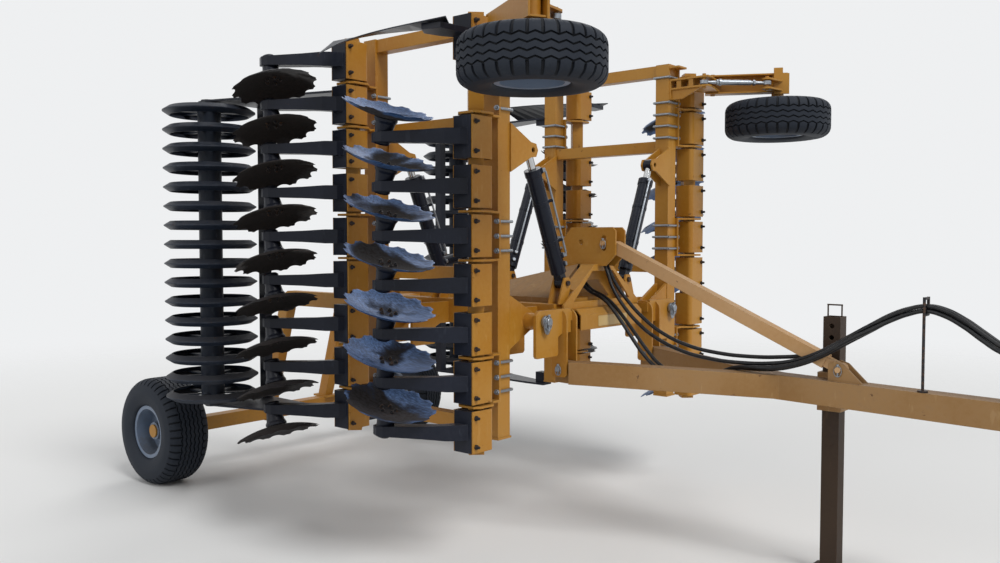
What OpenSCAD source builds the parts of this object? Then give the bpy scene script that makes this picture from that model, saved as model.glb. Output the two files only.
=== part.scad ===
// Trailed disc harrow, folded for the road on its transport wheels.
// +X is the direction of travel, +Y the left wing, +Z up. Sizes in mm.
// Every wing piece is drawn as it stands with the wing folded up.

/* [Row] */
// Distance from one disc arm to the next
disc_pitch = 250; // [240:1:260]
// Height of the lowest disc arm with the wing folded
station_low = 766; // [740:1:800]
// Distance from the front row to the rear row
row_gap = 950; // [900:1:1000]
// Distance of a disc beam's axis from the machine's centre plane
disc_beam_y = 1115; // [1090:1:1140]
// Width of the square disc beam
disc_beam_size = 80; // [70:1:85]

/* [Clamp] */
// Length of one clamp along its beam
clamp_length = 216; // [200:1:222]
// Outside width of a clamp
clamp_width = 133; // [128:1:140]
// Thickness of the bent clamp plate
clamp_plate = 8; // [6:0.5:10]
// Depth of a clamp from its back to the casting's face
clamp_depth = 170; // [160:1:180]
// Depth of the cast half that closes a clamp
cast_depth = 44; // [40:1:48]
// Outside radius of the bends of a clamp plate
clamp_bend = 27; // [18:0.5:30]
// Diameter of a rubber cord in a clamp's corner
rubber_dia = 34; // [28:0.5:34]
// Diameter of the clamp bolts
clamp_bolt_dia = 14; // [10:1:16]

/* [Disc] */
// Diameter of a disc
disc_dia = 490; // [440:1:510]
// Radius of the dish
dish_radius = 600; // [560:10:700]
// Thickness of a disc
disc_thick = 6; // [4:0.5:8]
// Number of notches in a disc's edge
notch_count = 12; // [8:1:14]
// Radius of a notch
notch_radius = 28; // [20:1:32]
// Depth of a notch
notch_depth = 24; // [16:1:30]
// Angle between a disc's plane and the direction of travel
disc_angle = 18; // [12:1:22]
// Distance of a hub behind the beam's axis
hub_back = 352; // [330:1:380]
// Distance of a hub outwards from the beam's axis
hub_out = 322; // [300:1:340]
// Thickness of a disc arm at the clamp
arm_thick = 80; // [60:1:90]
// Thickness of a disc arm at its hub
arm_tip_thick = 44; // [36:1:60]
// Diameter of the disc's bearing hub
hub_dia = 112; // [100:1:130]
// Diameter of the hub's foot on the arm
hub_foot_dia = 88; // [76:1:100]
// Distance from the arm's middle to the dish's middle
hub_length = 116; // [105:1:130]

/* [Wing frame] */
// Distance of a wing beam's axis from the machine's centre plane
wing_beam_y = 890; // [870:1:910]
// Position of the front wing beam's axis along the machine
wing_beam_x = -80; // [-90:1:-70]
// Width of the square wing beams
wing_beam_size = 100; // [90:5:100]
// Lower end of the wing beams
wing_beam_low = 675; // [660:1:700]
// Upper end of the wing beams
wing_beam_high = 2930; // [2900:1:2960]
// Width of the ties between the wing beams
tie_size = 76; // [60:1:80]
// Distance of a wing's pivot from the centre plane
pivot_y = 680; // [670:1:700]
// Height of a wing's pivot
pivot_z = 1300; // [1290:1:1310]
// Diameter of a wing's pivot pin
pivot_dia = 45; // [35:1:55]
// Diameter of the U-bolts
ubolt_dia = 16; // [12:1:18]
// Distance from U-bolt to U-bolt on a bracket
ubolt_pitch = 78; // [60:1:90]
// Thickness of the brackets' plates
bracket_plate = 12; // [8:1:14]

/* [Roller] */
// Diameter over the roller's rings
ring_dia = 592; // [560:1:600]
// Distance from ring to ring
ring_pitch = 125; // [120:1:130]
// Width of a ring's rim
ring_width = 58; // [40:1:70]
// Diameter of the roller's tube
roller_tube_dia = 150; // [120:1:170]
// Distance of the roller's axis behind the front row
roller_x = -2310; // [-2330:1:-2300]
// Distance of the roller's axis from the centre plane
roller_y = 1212; // [1190:1:1230]

/* [Fold cylinder] */
// Distance of a cylinder's lower pin from the centre plane
cyl_low_y = 330; // [320:1:340]
// Height of a cylinder's lower pin
cyl_low_z = 1495; // [1485:1:1505]
// Distance of a cylinder's upper pin from the centre plane
cyl_high_y = 650; // [640:1:660]
// Height of a cylinder's upper pin
cyl_high_z = 2240; // [2230:1:2250]
// Outside diameter of a barrel
barrel_dia = 90; // [80:1:95]
// Diameter of a cylinder's rod
rod_dia = 45; // [40:1:50]
// Diameter of the cylinder pins
cyl_pin_dia = 30; // [25:1:35]

/* [Centre frame] */
// Distance of a long beam's axis from the centre plane
long_y = 380; // [360:1:390]
// Width of a long beam
long_width = 100; // [80:1:110]
// Height of a long beam
long_height = 150; // [120:1:160]
// Underside of the centre frame
frame_low = 1225; // [1220:1:1230]
// Width of the square cross beams
cross_size = 120; // [100:1:130]
// Bevel along the front cross beam's upper edge
cross_bevel = 34; // [20:1:40]
// Wall of the cross beams
cross_wall = 8; // [5:1:10]
// Thickness of the frame's plates
frame_plate = 12; // [8:1:16]

/* [Drawbar] */
// Width of the drawbar tube
draw_width = 120; // [100:1:130]
// Height of the drawbar tube
draw_height = 128; // [110:1:140]
// Height of the drawbar's axis under the front cross beam
draw_root_z = 1004; // [1000:1:1010]
// Fall of the drawbar's axis per metre forwards
draw_fall = 25.5; // [20:0.5:30]
// Position of the point where the two legs meet
draw_meet_x = 1130; // [1100:10:1200]
// Position of the tow eye's centre
eye_x = 2640; // [2600:5:2700]
// Diameter of the tow eye's bore
eye_bore = 50; // [40:1:52]
// Width of the top stay's square tube
stay_size = 68; // [60:1:76]
// Diameter of a hose
hose_dia = 22; // [18:1:24]

/* [Wheels] */
// Position of the transport axle
axle_x = -2980; // [-3000:5:-2960]
// Distance of a transport wheel's middle from the centre plane
wheel_y = 1192; // [1180:1:1200]
// Diameter of a transport tyre
tyre_dia = 758; // [740:1:770]
// Width of a transport tyre
tyre_width = 312; // [290:1:320]
// Diameter of a transport wheel's rim flange
rim_dia = 376; // [360:1:390]
// Distance of a gauge wheel's axis ahead of the front row
gauge_x = 516; // [500:1:530]
// Distance of a gauge wheel's axis from the centre plane
gauge_y = 1345; // [1330:1:1360]
// Distance of a gauge wheel's middle under the wing beam's upper end
gauge_drop = 374; // [360:1:390]
// Diameter of a gauge tyre
gauge_dia = 690; // [670:1:700]
// Width of a gauge tyre
gauge_width = 250; // [230:1:260]
// Diameter of a gauge wheel's rim flange
gauge_rim_dia = 350; // [330:1:370]

/* [Chassis] */
// Position of the chassis pivot along the machine
swing_x = -1250; // [-1270:1:-1230]
// Height of the chassis pivot
swing_z = 1300; // [1290:1:1310]
// Diameter of the chassis pivot pin
swing_dia = 50; // [40:1:60]
// Width of the square axle beam
axle_size = 100; // [90:1:110]
// Width of the parking leg's square tube
leg_size = 88; // [70:1:90]
// Gap around a pin that turns
run_gap = 0.05; // [0.02:0.01:0.1]
// Gap around a piece that slides
slide_gap = 0.3; // [0.2:0.1:2]
// Gap between pieces that sit on each other
seat_gap = 0.3; // [0.2:0.1:0.5]

/* [Hidden] */
// Shift that puts the row's origin under the middle of the whole machine
x0 = ((tyre_dia / 2 - axle_x) - (eye_x + 60)) / 2;
// Position of a disc beam's axis behind the wing beam's front
disc_beam_x = -30;
half_clamp = clamp_width / 2;
// Distance of a U-bolt's legs from the beam's axis
ubolt_leg = wing_beam_size / 2 + ubolt_dia / 2 + 0.5;
gauge_z = wing_beam_high - gauge_drop;
axle_z = tyre_dia / 2;
// Distance of the collars on a spindle from the wheel's middle
hub_seat = tyre_width / 4 + 6 + seat_gap;
// Height of the lower face of a gauge wheel's arm
gauge_arm_low = wing_beam_high - 190;
gauge_ubolt_z = [wing_beam_high - 256, wing_beam_high - 88];
// The pivot of a gauge wheel's arm and the ends of its turnbuckle, seen from above
gauge_pin = [140, wing_beam_y + 250];
gauge_root = [215, wing_beam_y - 18];
gauge_reach = norm([gauge_x, gauge_y] - gauge_pin);
gauge_turn = atan2(gauge_y - gauge_pin[1], gauge_x - gauge_pin[0]);
gauge_tip = [gauge_x + 2, gauge_y - 175];
gauge_pin_dia = 24;
row_z = [for (k = [0:8]) station_low + disc_pitch * k];
// Stations on each row: [row, first station, last station, side the discs stand on]
right_rows = [[0, 0, 6, 1], [1, 0, 8, -1]];
left_rows = [[0, 0, 8, -1], [1, 0, 6, 1]];
// Rows that end in a shield: [row, station]
right_shields = [[0, 8]];
left_shields = [[1, 8]];
bracket_stations = [1, 4, 7];
ring_count = 16;
ring_low = 717;
roller_low = 682;
roller_high = ring_low + ring_pitch * (ring_count - 1) + 32;
cyl_x = wing_beam_x + 18;
cyl_angle = atan2(cyl_high_z - cyl_low_z, cyl_high_y - cyl_low_y);
cyl_length = norm([cyl_high_y - cyl_low_y, cyl_high_z - cyl_low_z]);
hinge_x = [60, -180];
// Place of the pins between the brackets and the drawbar's legs: along and up
draw_pin = [55, 1020];
draw_z = function (x) draw_root_z - draw_fall * x / 1000;
leg_x = 1372;
leg_y = 124;
leg_top = 1348;
// The tower's roof: height and half width of its ridge, and how it falls from there
ridge_z = 1600;
ridge_half = 90;
roof = function (y) ridge_z - 0.742 * (y - ridge_half);
chassis_pin = [-1850, 1470];
frame_pin = [-1010, 1660];
stay_low = [1452, 1092];
stay_high = [50, 1727];
// Hose routes: the points a hose runs through, in mm before the shift
hose_route_1 = [
    [-109, 14, 1655], [-55, 14, 1655], [4, 12, 1632], [46, 6, 1572], [104, 0, 1480],
    [190, 0, 1380], [294, 2, 1286], [400, 6, 1216], [580, 15, 1146], [760, 30, 1116],
    [940, 42, 1110], [1110, 52, 1120], [1230, 57, 1138], [1366, 57, 1186], [1501, 42, 1268],
    [1600, 22, 1330], [1700, 12, 1386], [1775, 11, 1415], [1851, 12, 1430], [1930, 12, 1418],
    [2020, 14, 1374], [2100, 20, 1318], [2173, 26, 1268], [2280, 32, 1212], [2335, 34, 1172],
    [2349, 34, 1140], [2350, 34, 1113.3]
];
hose_route_2 = [
    [-109, -14, 1655], [-55, -14, 1655], [4, -16, 1632], [46, -22, 1572], [96, -30, 1466],
    [175, -38, 1362], [283, -45, 1262], [390, -52, 1194], [580, -58, 1122], [760, -60, 1092],
    [940, -60, 1086], [1110, -60, 1098], [1230, -60, 1122], [1366, -58, 1178], [1501, -38, 1262],
    [1600, -26, 1324], [1700, -14, 1380], [1775, -12, 1413], [1851, -11, 1430], [1930, -12, 1416],
    [2020, -13, 1370], [2100, -12, 1312], [2173, -14, 1262], [2280, -20, 1206], [2335, -22, 1168],
    [2349, -22, 1140], [2350, -22, 1113.3]
];
hose_route_3 = [
    [-150, 8, 1599.5], [-150, 8, 1570], [-146, 6, 1530], [-125, 4, 1485], [-85, 0, 1450],
    [-40, -4, 1428], [5, -8, 1412], [60, -12, 1384], [104, -14, 1350], [184, -16, 1268],
    [268, -16, 1172], [338, -16, 1094], [404, -18, 1034], [490, -20, 992], [620, -22, 978],
    [780, -26, 1000], [860, -30, 1030], [920, -34, 1052], [1000, -44, 1058], [1110, -50, 1066],
    [1230, -56, 1094], [1366, -58, 1152], [1501, -40, 1236], [1600, -14, 1298], [1700, 8, 1360],
    [1775, 12, 1391], [1851, 12, 1407], [1930, 12, 1392], [2020, 13, 1346], [2100, 8, 1292],
    [2173, 8, 1240],
    [2280, 6, 1190], [2335, 6, 1158], [2349, 6, 1136], [2350, 6, 1113.3]
];
hose_route_4 = [
    [-150, -30, 1599.5], [-150, -30, 1570], [-146, -31, 1530], [-125, -33, 1485], [-85, -34, 1448],
    [-40, -38, 1424], [5, -46, 1410], [60, -52, 1384], [104, -54, 1346], [178, -54, 1262],
    [260, -54, 1160], [328, -52, 1080], [394, -50, 1024], [480, -48, 984], [620, -48, 974],
    [760, -48, 1000], [840, -52, 1034], [900, -60, 1056], [1000, -82, 1070], [1110, -84, 1078],
    [1230, -84, 1104], [1366, -83, 1160], [1501, -66, 1244], [1600, -42, 1300], [1700, -20, 1356],
    [1775, -12, 1389], [1851, -11, 1407], [1930, -12, 1390], [2020, -14, 1342], [2100, -22, 1286],
    [2173, -34, 1236], [2280, -46, 1186], [2335, -50, 1154], [2349, -50, 1134], [2350, -50, 1113.3]
];

/* [Colours] */
// Red, green and blue of the frame's paint
paint = [0.82, 0.55, 0.13];
// Red, green and blue of the black castings
black = [0.07, 0.07, 0.08];
// Red, green and blue of bright steel
steel = [0.62, 0.62, 0.6];
// Red, green and blue of rubber
rubber = [0.05, 0.05, 0.05];

/* [Choose] */
// Which piece is drawn

$fn = 48;

// Puts a piece on the right (side -1) or the left (side 1) of the centre plane
module on_side(side) {
    translate([x0, 0, 0])
        if (side > 0) children();
        else mirror([0, 1, 0]) children();
}

module at_row() {
    translate([x0, 0, 0]) children();
}

// A cylinder along Y whose middle is at the origin
module y_cyl(r, l, fn = 48) {
    rotate([90, 0, 0]) cylinder(r = r, h = l, center = true, $fn = fn);
}

// A cylinder along X whose middle is at the origin
module x_cyl(r, l, fn = 48) {
    rotate([0, 90, 0]) cylinder(r = r, h = l, center = true, $fn = fn);
}

module box(low, high) {
    translate(low) cube(high - low);
}

// A square tube along Z
module z_tube(size, low, high, wall = 8) {
    difference() {
        translate([-size / 2, -size / 2, low]) cube([size, size, high - low]);
        translate([-size / 2 + wall, -size / 2 + wall, low - 1])
            cube([size - 2 * wall, size - 2 * wall, high - low + 2]);
    }
}

// One square wing beam with its hinge and cylinder ears, at row 0 or 1
module wing_beam(row) {
    s = wing_beam_size / 2;
    translate([-row * row_gap, 0, 0]) {
        difference() {
            box([wing_beam_x - s, wing_beam_y - s, wing_beam_low],
                [wing_beam_x + s, wing_beam_y + s, wing_beam_high]);
            box([wing_beam_x - s + 8, wing_beam_y - s + 8, wing_beam_low + 10],
                [wing_beam_x + s - 8, wing_beam_y + s - 8, wing_beam_high - 10]);
        }
        // End plate, flush behind where the roller's bracket sits
        box([wing_beam_x - s, wing_beam_y - s - 6, wing_beam_low],
            [wing_beam_x + s + 6, wing_beam_y + s + 6, wing_beam_low + 10]);
        hinge_ear(wing_beam_x + 26, 20);
        hinge_ear(wing_beam_x - 46, 20);
        difference() {
            translate([(-150 + 46) / 2, pivot_y, pivot_z]) x_cyl(44, 196, 72);
            translate([-60, pivot_y, pivot_z]) x_cyl(pivot_dia / 2 + run_gap, 300);
        }
        cylinder_ear(cyl_x + 31);
        cylinder_ear(cyl_x - 43);
    }
}

// A plate from the wing beam to the hinge tube
module hinge_ear(x, t) {
    difference() {
        translate([x, 0, 0]) rotate([90, 0, 90]) linear_extrude(t) polygon([
            [wing_beam_y + wing_beam_size / 2 - 2, pivot_z - 150],
            [wing_beam_y + wing_beam_size / 2 - 2, pivot_z + 150],
            [wing_beam_y - wing_beam_size / 2, pivot_z + 150],
            [pivot_y - 40, pivot_z + 46], [pivot_y - 46, pivot_z],
            [pivot_y - 40, pivot_z - 46], [wing_beam_y - wing_beam_size / 2, pivot_z - 150]
        ]);
        translate([x, pivot_y, pivot_z]) x_cyl(pivot_dia / 2 + run_gap, 3 * t);
    }
}

// A plate that carries a fold cylinder's rod eye, without its pin
module cylinder_ear(x) {
    difference() {
        translate([x, 0, 0]) rotate([90, 0, 90]) linear_extrude(12) polygon([
            [wing_beam_y - wing_beam_size / 2 + 4, cyl_high_z - 130],
            [wing_beam_y - wing_beam_size / 2 + 4, cyl_high_z + 130],
            [cyl_high_y + 20, cyl_high_z + 42], [cyl_high_y - 26, cyl_high_z + 36],
            [cyl_high_y - 42, cyl_high_z], [cyl_high_y - 26, cyl_high_z - 36],
            [cyl_high_y + 20, cyl_high_z - 42]
        ]);
        translate([x, cyl_high_y, cyl_high_z]) x_cyl(cyl_pin_dia / 2, 60);
    }
}

module wing_beams() {
    wing_beam(0);
    wing_beam(1);
}

// Ties between the front and the rear wing beam
module wing_ties() {
    x_high = wing_beam_x - wing_beam_size / 2 - seat_gap;
    x_low = wing_beam_x - row_gap + wing_beam_size / 2 + seat_gap;
    half = tie_size / 2;
    middle = wing_beam_low + 885;
    for (z = [wing_beam_low + 65, wing_beam_high - 550, wing_beam_high - 40])
        box([x_low, wing_beam_y - half, z - half], [x_high, wing_beam_y + half, z + half]);
    // The middle tie stays clear of the rear fold cylinder
    box([x_low + 20, wing_beam_y - half + 30, middle - half], [x_high, wing_beam_y + half, middle + half]);
}

// The square beam a row's clamps hang on, with the brackets that hold it
module disc_beam(row) {
    d = disc_beam_size;
    translate([-row * row_gap, 0, 0]) {
        translate([disc_beam_x, disc_beam_y, 0]) rotate([0, 0, 45])
            z_tube(d, station_low - 128, station_low + 8 * disc_pitch + 130);
        for (k = bracket_stations) translate([0, 0, row_z[k]]) beam_bracket();
    }
}

// A bracket that straddles one clamp; U-bolts hold it to the wing beam
module beam_bracket() {
    face = wing_beam_y + wing_beam_size / 2 + seat_gap;
    half = disc_pitch / 2;
    x_low = wing_beam_x - 72;
    x_high = wing_beam_x + 70;
    d = disc_beam_size;
    difference() {
        box([x_low, face, -half - 6], [x_high, face + bracket_plate, half + 6]);
        for (z = [-ubolt_pitch, 0, ubolt_pitch]) translate([wing_beam_x, face, z]) ubolt_holes();
    }
    for (z = [-half - 6, half - 6]) difference() {
        translate([0, 0, z]) linear_extrude(12) polygon([
            [x_low, face + 11], [x_high, face + 11], [x_high, face + 60],
            [disc_beam_x + 78, disc_beam_y - 50], [disc_beam_x + 78, disc_beam_y + 50],
            [disc_beam_x + 50, disc_beam_y + 78], [disc_beam_x - 50, disc_beam_y + 78],
            [disc_beam_x - 78, disc_beam_y + 50], [disc_beam_x - 78, disc_beam_y - 50],
            [x_low, face + 60]
        ]);
        translate([disc_beam_x, disc_beam_y, z - 5]) rotate([0, 0, 45])
            translate([-d / 2 + 1, -d / 2 + 1, 0]) cube([d - 2, d - 2, 30]);
    }
}

// Holes for a U-bolt's two legs
module ubolt_holes() {
    for (x = [-1, 1]) translate([x * ubolt_leg, 0, 0]) y_cyl(ubolt_dia / 2 + 0.5, 60, 24);
}

// The U-bolts that hold the brackets of both rows
module bracket_ubolts() {
    for (row = [0, 1], k = bracket_stations, z = [-ubolt_pitch, 0, ubolt_pitch])
        translate([wing_beam_x - row * row_gap, 0, row_z[k] + z])
            ubolt(wing_beam_y + wing_beam_size / 2 + seat_gap + bracket_plate);
    // Those that hold the gauge wheel's bracket
    for (z = gauge_ubolt_z)
        translate([wing_beam_x, 0, z]) ubolt(wing_beam_y + wing_beam_size / 2 + seat_gap + bracket_plate);
}

// One U-bolt round the wing beam, with its nuts on the bracket's outer face
module ubolt(face) {
    r = ubolt_dia / 2;
    inner = wing_beam_y - wing_beam_size / 2 - r - 0.5;
    for (x = [-ubolt_leg, ubolt_leg]) {
        translate([x, (inner + face + 22) / 2, 0]) y_cyl(r, face + 22 - inner, 24);
        translate([x, face + 6.4, 0]) rotate([90, 0, 0]) cylinder(r = 15, h = 12, center = true, $fn = 6);
    }
    translate([0, inner, 0]) x_cyl(r, 2 * ubolt_leg, 24);
}

module disc_beams() {
    disc_beam(0);
    disc_beam(1);
}

// The bent plate of one clamp with its two bolts, centred on the disc beam
module clamp_plate_half() {
    t = clamp_plate;
    back = -half_clamp;
    front = clamp_depth - half_clamp - 4;
    linear_extrude(clamp_length, center = true) difference() {
        clamp_section(half_clamp, back, front, clamp_bend);
        clamp_section(half_clamp - t, back + t, front + t, clamp_bend - t);
    }
    for (z = [-1, 1]) translate([0, front - 22, z * (clamp_length / 2 - 34)]) {
        x_cyl(clamp_bolt_dia / 2, clamp_width + 20, 24);
        for (x = [-1, 1]) translate([x * (half_clamp + 5.2), 0, 0]) rotate([0, 90, 0])
            cylinder(r = 12.5, h = 10, center = true, $fn = 6);
    }
}

// A clamp's outline in section, its two back corners bent to radius r
module clamp_section(half, back, front, r) {
    translate([-half, back + r]) square([2 * half, front - back - r]);
    translate([-half + r, back]) square([2 * (half - r), r + 1]);
    for (x = [-1, 1]) translate([x * (half - r), back + r]) circle(r = r);
}

// Clamp stations of one wing: every disc's and every shield's
module stations(rows, shields) {
    for (r = rows, k = [r[1]:r[2]])
        translate([disc_beam_x - r[0] * row_gap, disc_beam_y, row_z[k]]) children();
    for (s = shields)
        translate([disc_beam_x - s[0] * row_gap, disc_beam_y, row_z[s[1]]]) children();
}

// The four rubber cords between a clamp's corners and the flats of its beam
module rubber_cords() {
    c = (disc_beam_size / 2 + seat_gap + rubber_dia / 2) / sqrt(2);
    for (x = [-1, 1], y = [-1, 1]) translate([x * c, y * c, 0])
        cylinder(d = rubber_dia, h = clamp_length - 6, center = true, $fn = 32);
}

// The cast block that closes a clamp, with holes for its bolts
module casting() {
    low = clamp_depth - half_clamp - cast_depth;
    w = half_clamp - clamp_plate - seat_gap;
    difference() {
        union() {
            translate([-w, low, -clamp_length / 2 + 1]) cube([2 * w, cast_depth, clamp_length - 2]);
            children();
        }
        for (z = [-1, 1]) translate([0, low + cast_depth - 26, z * (clamp_length / 2 - 34)])
            x_cyl(clamp_bolt_dia / 2 + 0.3, clamp_width + 20, 24);
    }
}

// A cast half: it closes the clamp and carries the arm. up: side the disc stands on
module disc_arm(up) {
    casting() intersection() {
        translate([0, 0, -arm_thick / 2]) linear_extrude(arm_thick) arm_outline();
        rotate([-90, 0, 0]) linear_extrude(hub_out + 100) arm_taper();
    }
    translate([-hub_back, hub_out, 0]) rotate([0, up * disc_angle, 0]) mirror([0, 0, up > 0 ? 0 : 1])
        hub();
}

// Outline of an arm seen along the wing, from the casting's face to the hub
module arm_outline() {
    y = clamp_depth - half_clamp - 6;
    polygon([
        [40, y], [18, y + 40], [-40, y + 96], [-150, y + 170], [-hub_back + 40, hub_out + 46],
        [-hub_back, hub_out + 54], [-hub_back - 44, hub_out + 34], [-hub_back - 54, hub_out],
        [-hub_back - 40, hub_out - 40], [-hub_back + 20, hub_out - 52], [-170, y + 84],
        [-100, y + 50], [-56, y + 10], [-54, y]
    ]);
}

// How an arm thins from its clamp to its hub
module arm_taper() {
    root = arm_thick / 2;
    tip = arm_tip_thick / 2;
    polygon([
        [60, -root], [-30, -root], [-140, -tip - 10], [-hub_back - 80, -tip],
        [-hub_back - 80, tip], [-140, tip + 10], [-30, root], [60, root]
    ]);
}

// A hub from its foot on the arm up to its flange behind the disc
module hub() {
    top = hub_length - 14;
    foot = hub_foot_dia / 2;
    flange = hub_dia / 2;
    rotate_extrude() polygon([
        [0, -34], [foot - 8, -34], [foot, -26], [foot, 30], [flange - 4, top - 26],
        [flange + 4, top - 12], [flange + 4, top], [0, top]
    ]);
}

// One dished disc with a notched edge; its hollow faces up for side 1
module disc(up) {
    depth = dish_radius - sqrt(dish_radius * dish_radius - disc_dia * disc_dia / 4);
    translate([-hub_back, hub_out, 0]) rotate([0, up * disc_angle, 0])
        mirror([0, 0, up > 0 ? 0 : 1]) translate([0, 0, hub_length - 13.5]) intersection() {
            rotate_extrude($fn = 72) intersection() {
                translate([0, dish_radius]) difference() {
                    circle(r = dish_radius, $fn = 360);
                    circle(r = dish_radius - disc_thick, $fn = 360);
                }
                translate([0, -1]) square([disc_dia / 2 + 5, depth + 30]);
            }
            translate([0, 0, -2]) linear_extrude(depth + 40) notched_circle();
        }
}

// A disc's outline in plan
module notched_circle() {
    difference() {
        circle(d = disc_dia, $fn = 72);
        for (k = [1:notch_count]) rotate(360 * k / notch_count)
            translate([disc_dia / 2 + notch_radius - notch_depth, 0]) circle(r = notch_radius, $fn = 24);
    }
}

// Edges of a shield's blade, s from 0 at its root to 1 at its tip
function blade_outer(s) = [80 - 915 * s, 305 + 110 * sin(180 * s) + 30 * s, -16 + 61 * pow(1 - s, 2)];
function blade_inner(s) = [-30 - 870 * s, 150 + 30 * s, 82 - 50 * pow(1 - s, 2)];

// The twisted blade that ends a row, on its own casting
module shield() {
    steps = 10;
    t = 6;
    edge = [for (k = [0:steps]) let (s = k / steps) [blade_outer(s), blade_inner(s)]];
    rows = [for (e = edge) [e[0], e[1], e[1] + [0, 0, t], e[0] + [0, 0, t]]];
    points = [for (row = rows, p = row) p];
    // The top is cut along the same diagonals as the underside, so the sheet keeps its thickness
    halves = function (a, b, c, d, top) top ? [[a, b, d], [b, c, d]] : [[a, b, c], [a, c, d]];
    faces = concat(
        [[0, 1, 2, 3]],
        [for (i = [0:steps - 1], k = [0:3]) let (b = 4 * i, m = (k + 1) % 4)
            each halves(b + k, b + 4 + k, b + 4 + m, b + m, k == 2)],
        [[for (k = [3:-1:0]) 4 * steps + k]]
    );
    y = clamp_depth - half_clamp;
    casting() translate([0, 0, 2]) linear_extrude(30 - seat_gap) polygon([
        [56, y - 6], [56, y + 40], [40, 300], [-60, 330], [-110, 260], [-90, y + 60], [-54, y - 6]
    ]);
    polyhedron(points = points, faces = faces, convexity = 4);
}

// One ring of the roller with its spokes
module ring() {
    r = ring_dia / 2;
    w = ring_width / 2;
    rotate_extrude($fn = 72) polygon([
        [r - 46, -w], [r - 40, -w], [r, -3], [r, 3], [r - 40, w], [r - 46, w], [r - 10, 0]
    ]);
    for (a = [0:60:300]) rotate([0, 0, a])
        translate([roller_tube_dia / 2 - 4, -22, -4]) cube([r - 14 - roller_tube_dia / 2 + 4, 44, 8]);
}

module roller() {
    translate([roller_x, roller_y, 0]) {
        difference() {
            translate([0, 0, roller_low]) cylinder(d = roller_tube_dia, h = roller_high - roller_low);
            translate([0, 0, roller_low - 1]) cylinder(d = roller_tube_dia - 16, h = 30);
            translate([0, 0, roller_high - 29]) cylinder(d = roller_tube_dia - 16, h = 30);
        }
        for (z = [roller_low - 34, roller_high - 40])
            translate([0, 0, z]) cylinder(d = 50, h = 74);
        for (k = [0:ring_count - 1]) translate([0, 0, ring_low + ring_pitch * k]) ring();
    }
}

// The two end arms that carry the roller, with the tube that joins them behind it
module roller_arms() {
    x_high = wing_beam_x - row_gap - wing_beam_size / 2 - seat_gap;
    tube_x = roller_x + 120;
    for (z = [roller_low - 36, roller_high + 22]) difference() {
        union() {
            translate([0, 0, z]) linear_extrude(14) polygon([
                [x_high, wing_beam_y - 60], [x_high, wing_beam_y + 40],
                [x_high - 260, wing_beam_y + 110], [roller_x + 60, roller_y + 66],
                [roller_x - 30, roller_y + 62], [roller_x - 62, roller_y],
                [roller_x - 30, roller_y - 58], [tube_x - 40, roller_y - 130],
                [tube_x - 40, wing_beam_y - 55], [tube_x + 40, wing_beam_y - 60],
                [x_high - 420, wing_beam_y - 40], [x_high - 180, wing_beam_y - 60]
            ]);
            translate([roller_x, roller_y, z - 10]) cylinder(r = 52, h = 34);
        }
        translate([roller_x, roller_y, z - 20]) cylinder(d = 50 + 2 * run_gap, h = 60);
    }
    box([tube_x - 30, wing_beam_y - 50, roller_low - 24], [tube_x + 30, wing_beam_y + 10, roller_high + 24]);
    for (z = [[roller_low - 35, roller_low + 58], [roller_high - 16, roller_high + 35]])
        box([x_high - 90, wing_beam_y - 38, z[0]], [x_high, wing_beam_y + 38, z[1]]);
}

// The bracket that carries a gauge wheel's arm on the wing beam
module gauge_bracket() {
    x_front = wing_beam_x + wing_beam_size / 2 + seat_gap;
    y_in = wing_beam_y - 44;
    face = wing_beam_y + wing_beam_size / 2 + seat_gap;
    a = gauge_arm_low;
    t = bracket_plate;
    difference() {
        box([wing_beam_x - 72, face, a - 90], [wing_beam_x + 70, face + t, a + 172]);
        for (z = gauge_ubolt_z) translate([wing_beam_x, face, z]) ubolt_holes();
    }
    box([x_front, y_in, a - 50], [x_front + t, face + 1, a + 86]);
    box([x_front, y_in, a + 160], [42, face + t, a + 172]);
    for (z = [a + 14, a + 74]) translate([0, 0, z]) linear_extrude(t) polygon([
        [x_front, y_in], [gauge_root[0] + 40, y_in], [gauge_root[0] + 40, y_in + 56],
        gauge_pin + [50, 0], gauge_pin + [0, 40], gauge_pin + [-40, 10], gauge_pin + [-60, -105],
        [wing_beam_x - 50, face + 60], [wing_beam_x - 50, face + 1], [x_front, face + 1]
    ]);
    for (x = [20, 110]) box([x, y_in + 8, a + 25], [x + 34, y_in + 90, a + 75]);
    translate([0, y_in + 26, 0]) rotate([90, 0, 0]) linear_extrude(t) polygon([
        [x_front, a - 50], [60, a - 50], [200, a + 15], [x_front, a + 15]
    ]);
    translate([gauge_root[0], gauge_root[1], a + 4]) cylinder(d = gauge_pin_dia, h = 96);
    translate([gauge_pin[0], gauge_pin[1], a - 8]) cylinder(d = 30, h = 144);
}

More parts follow.
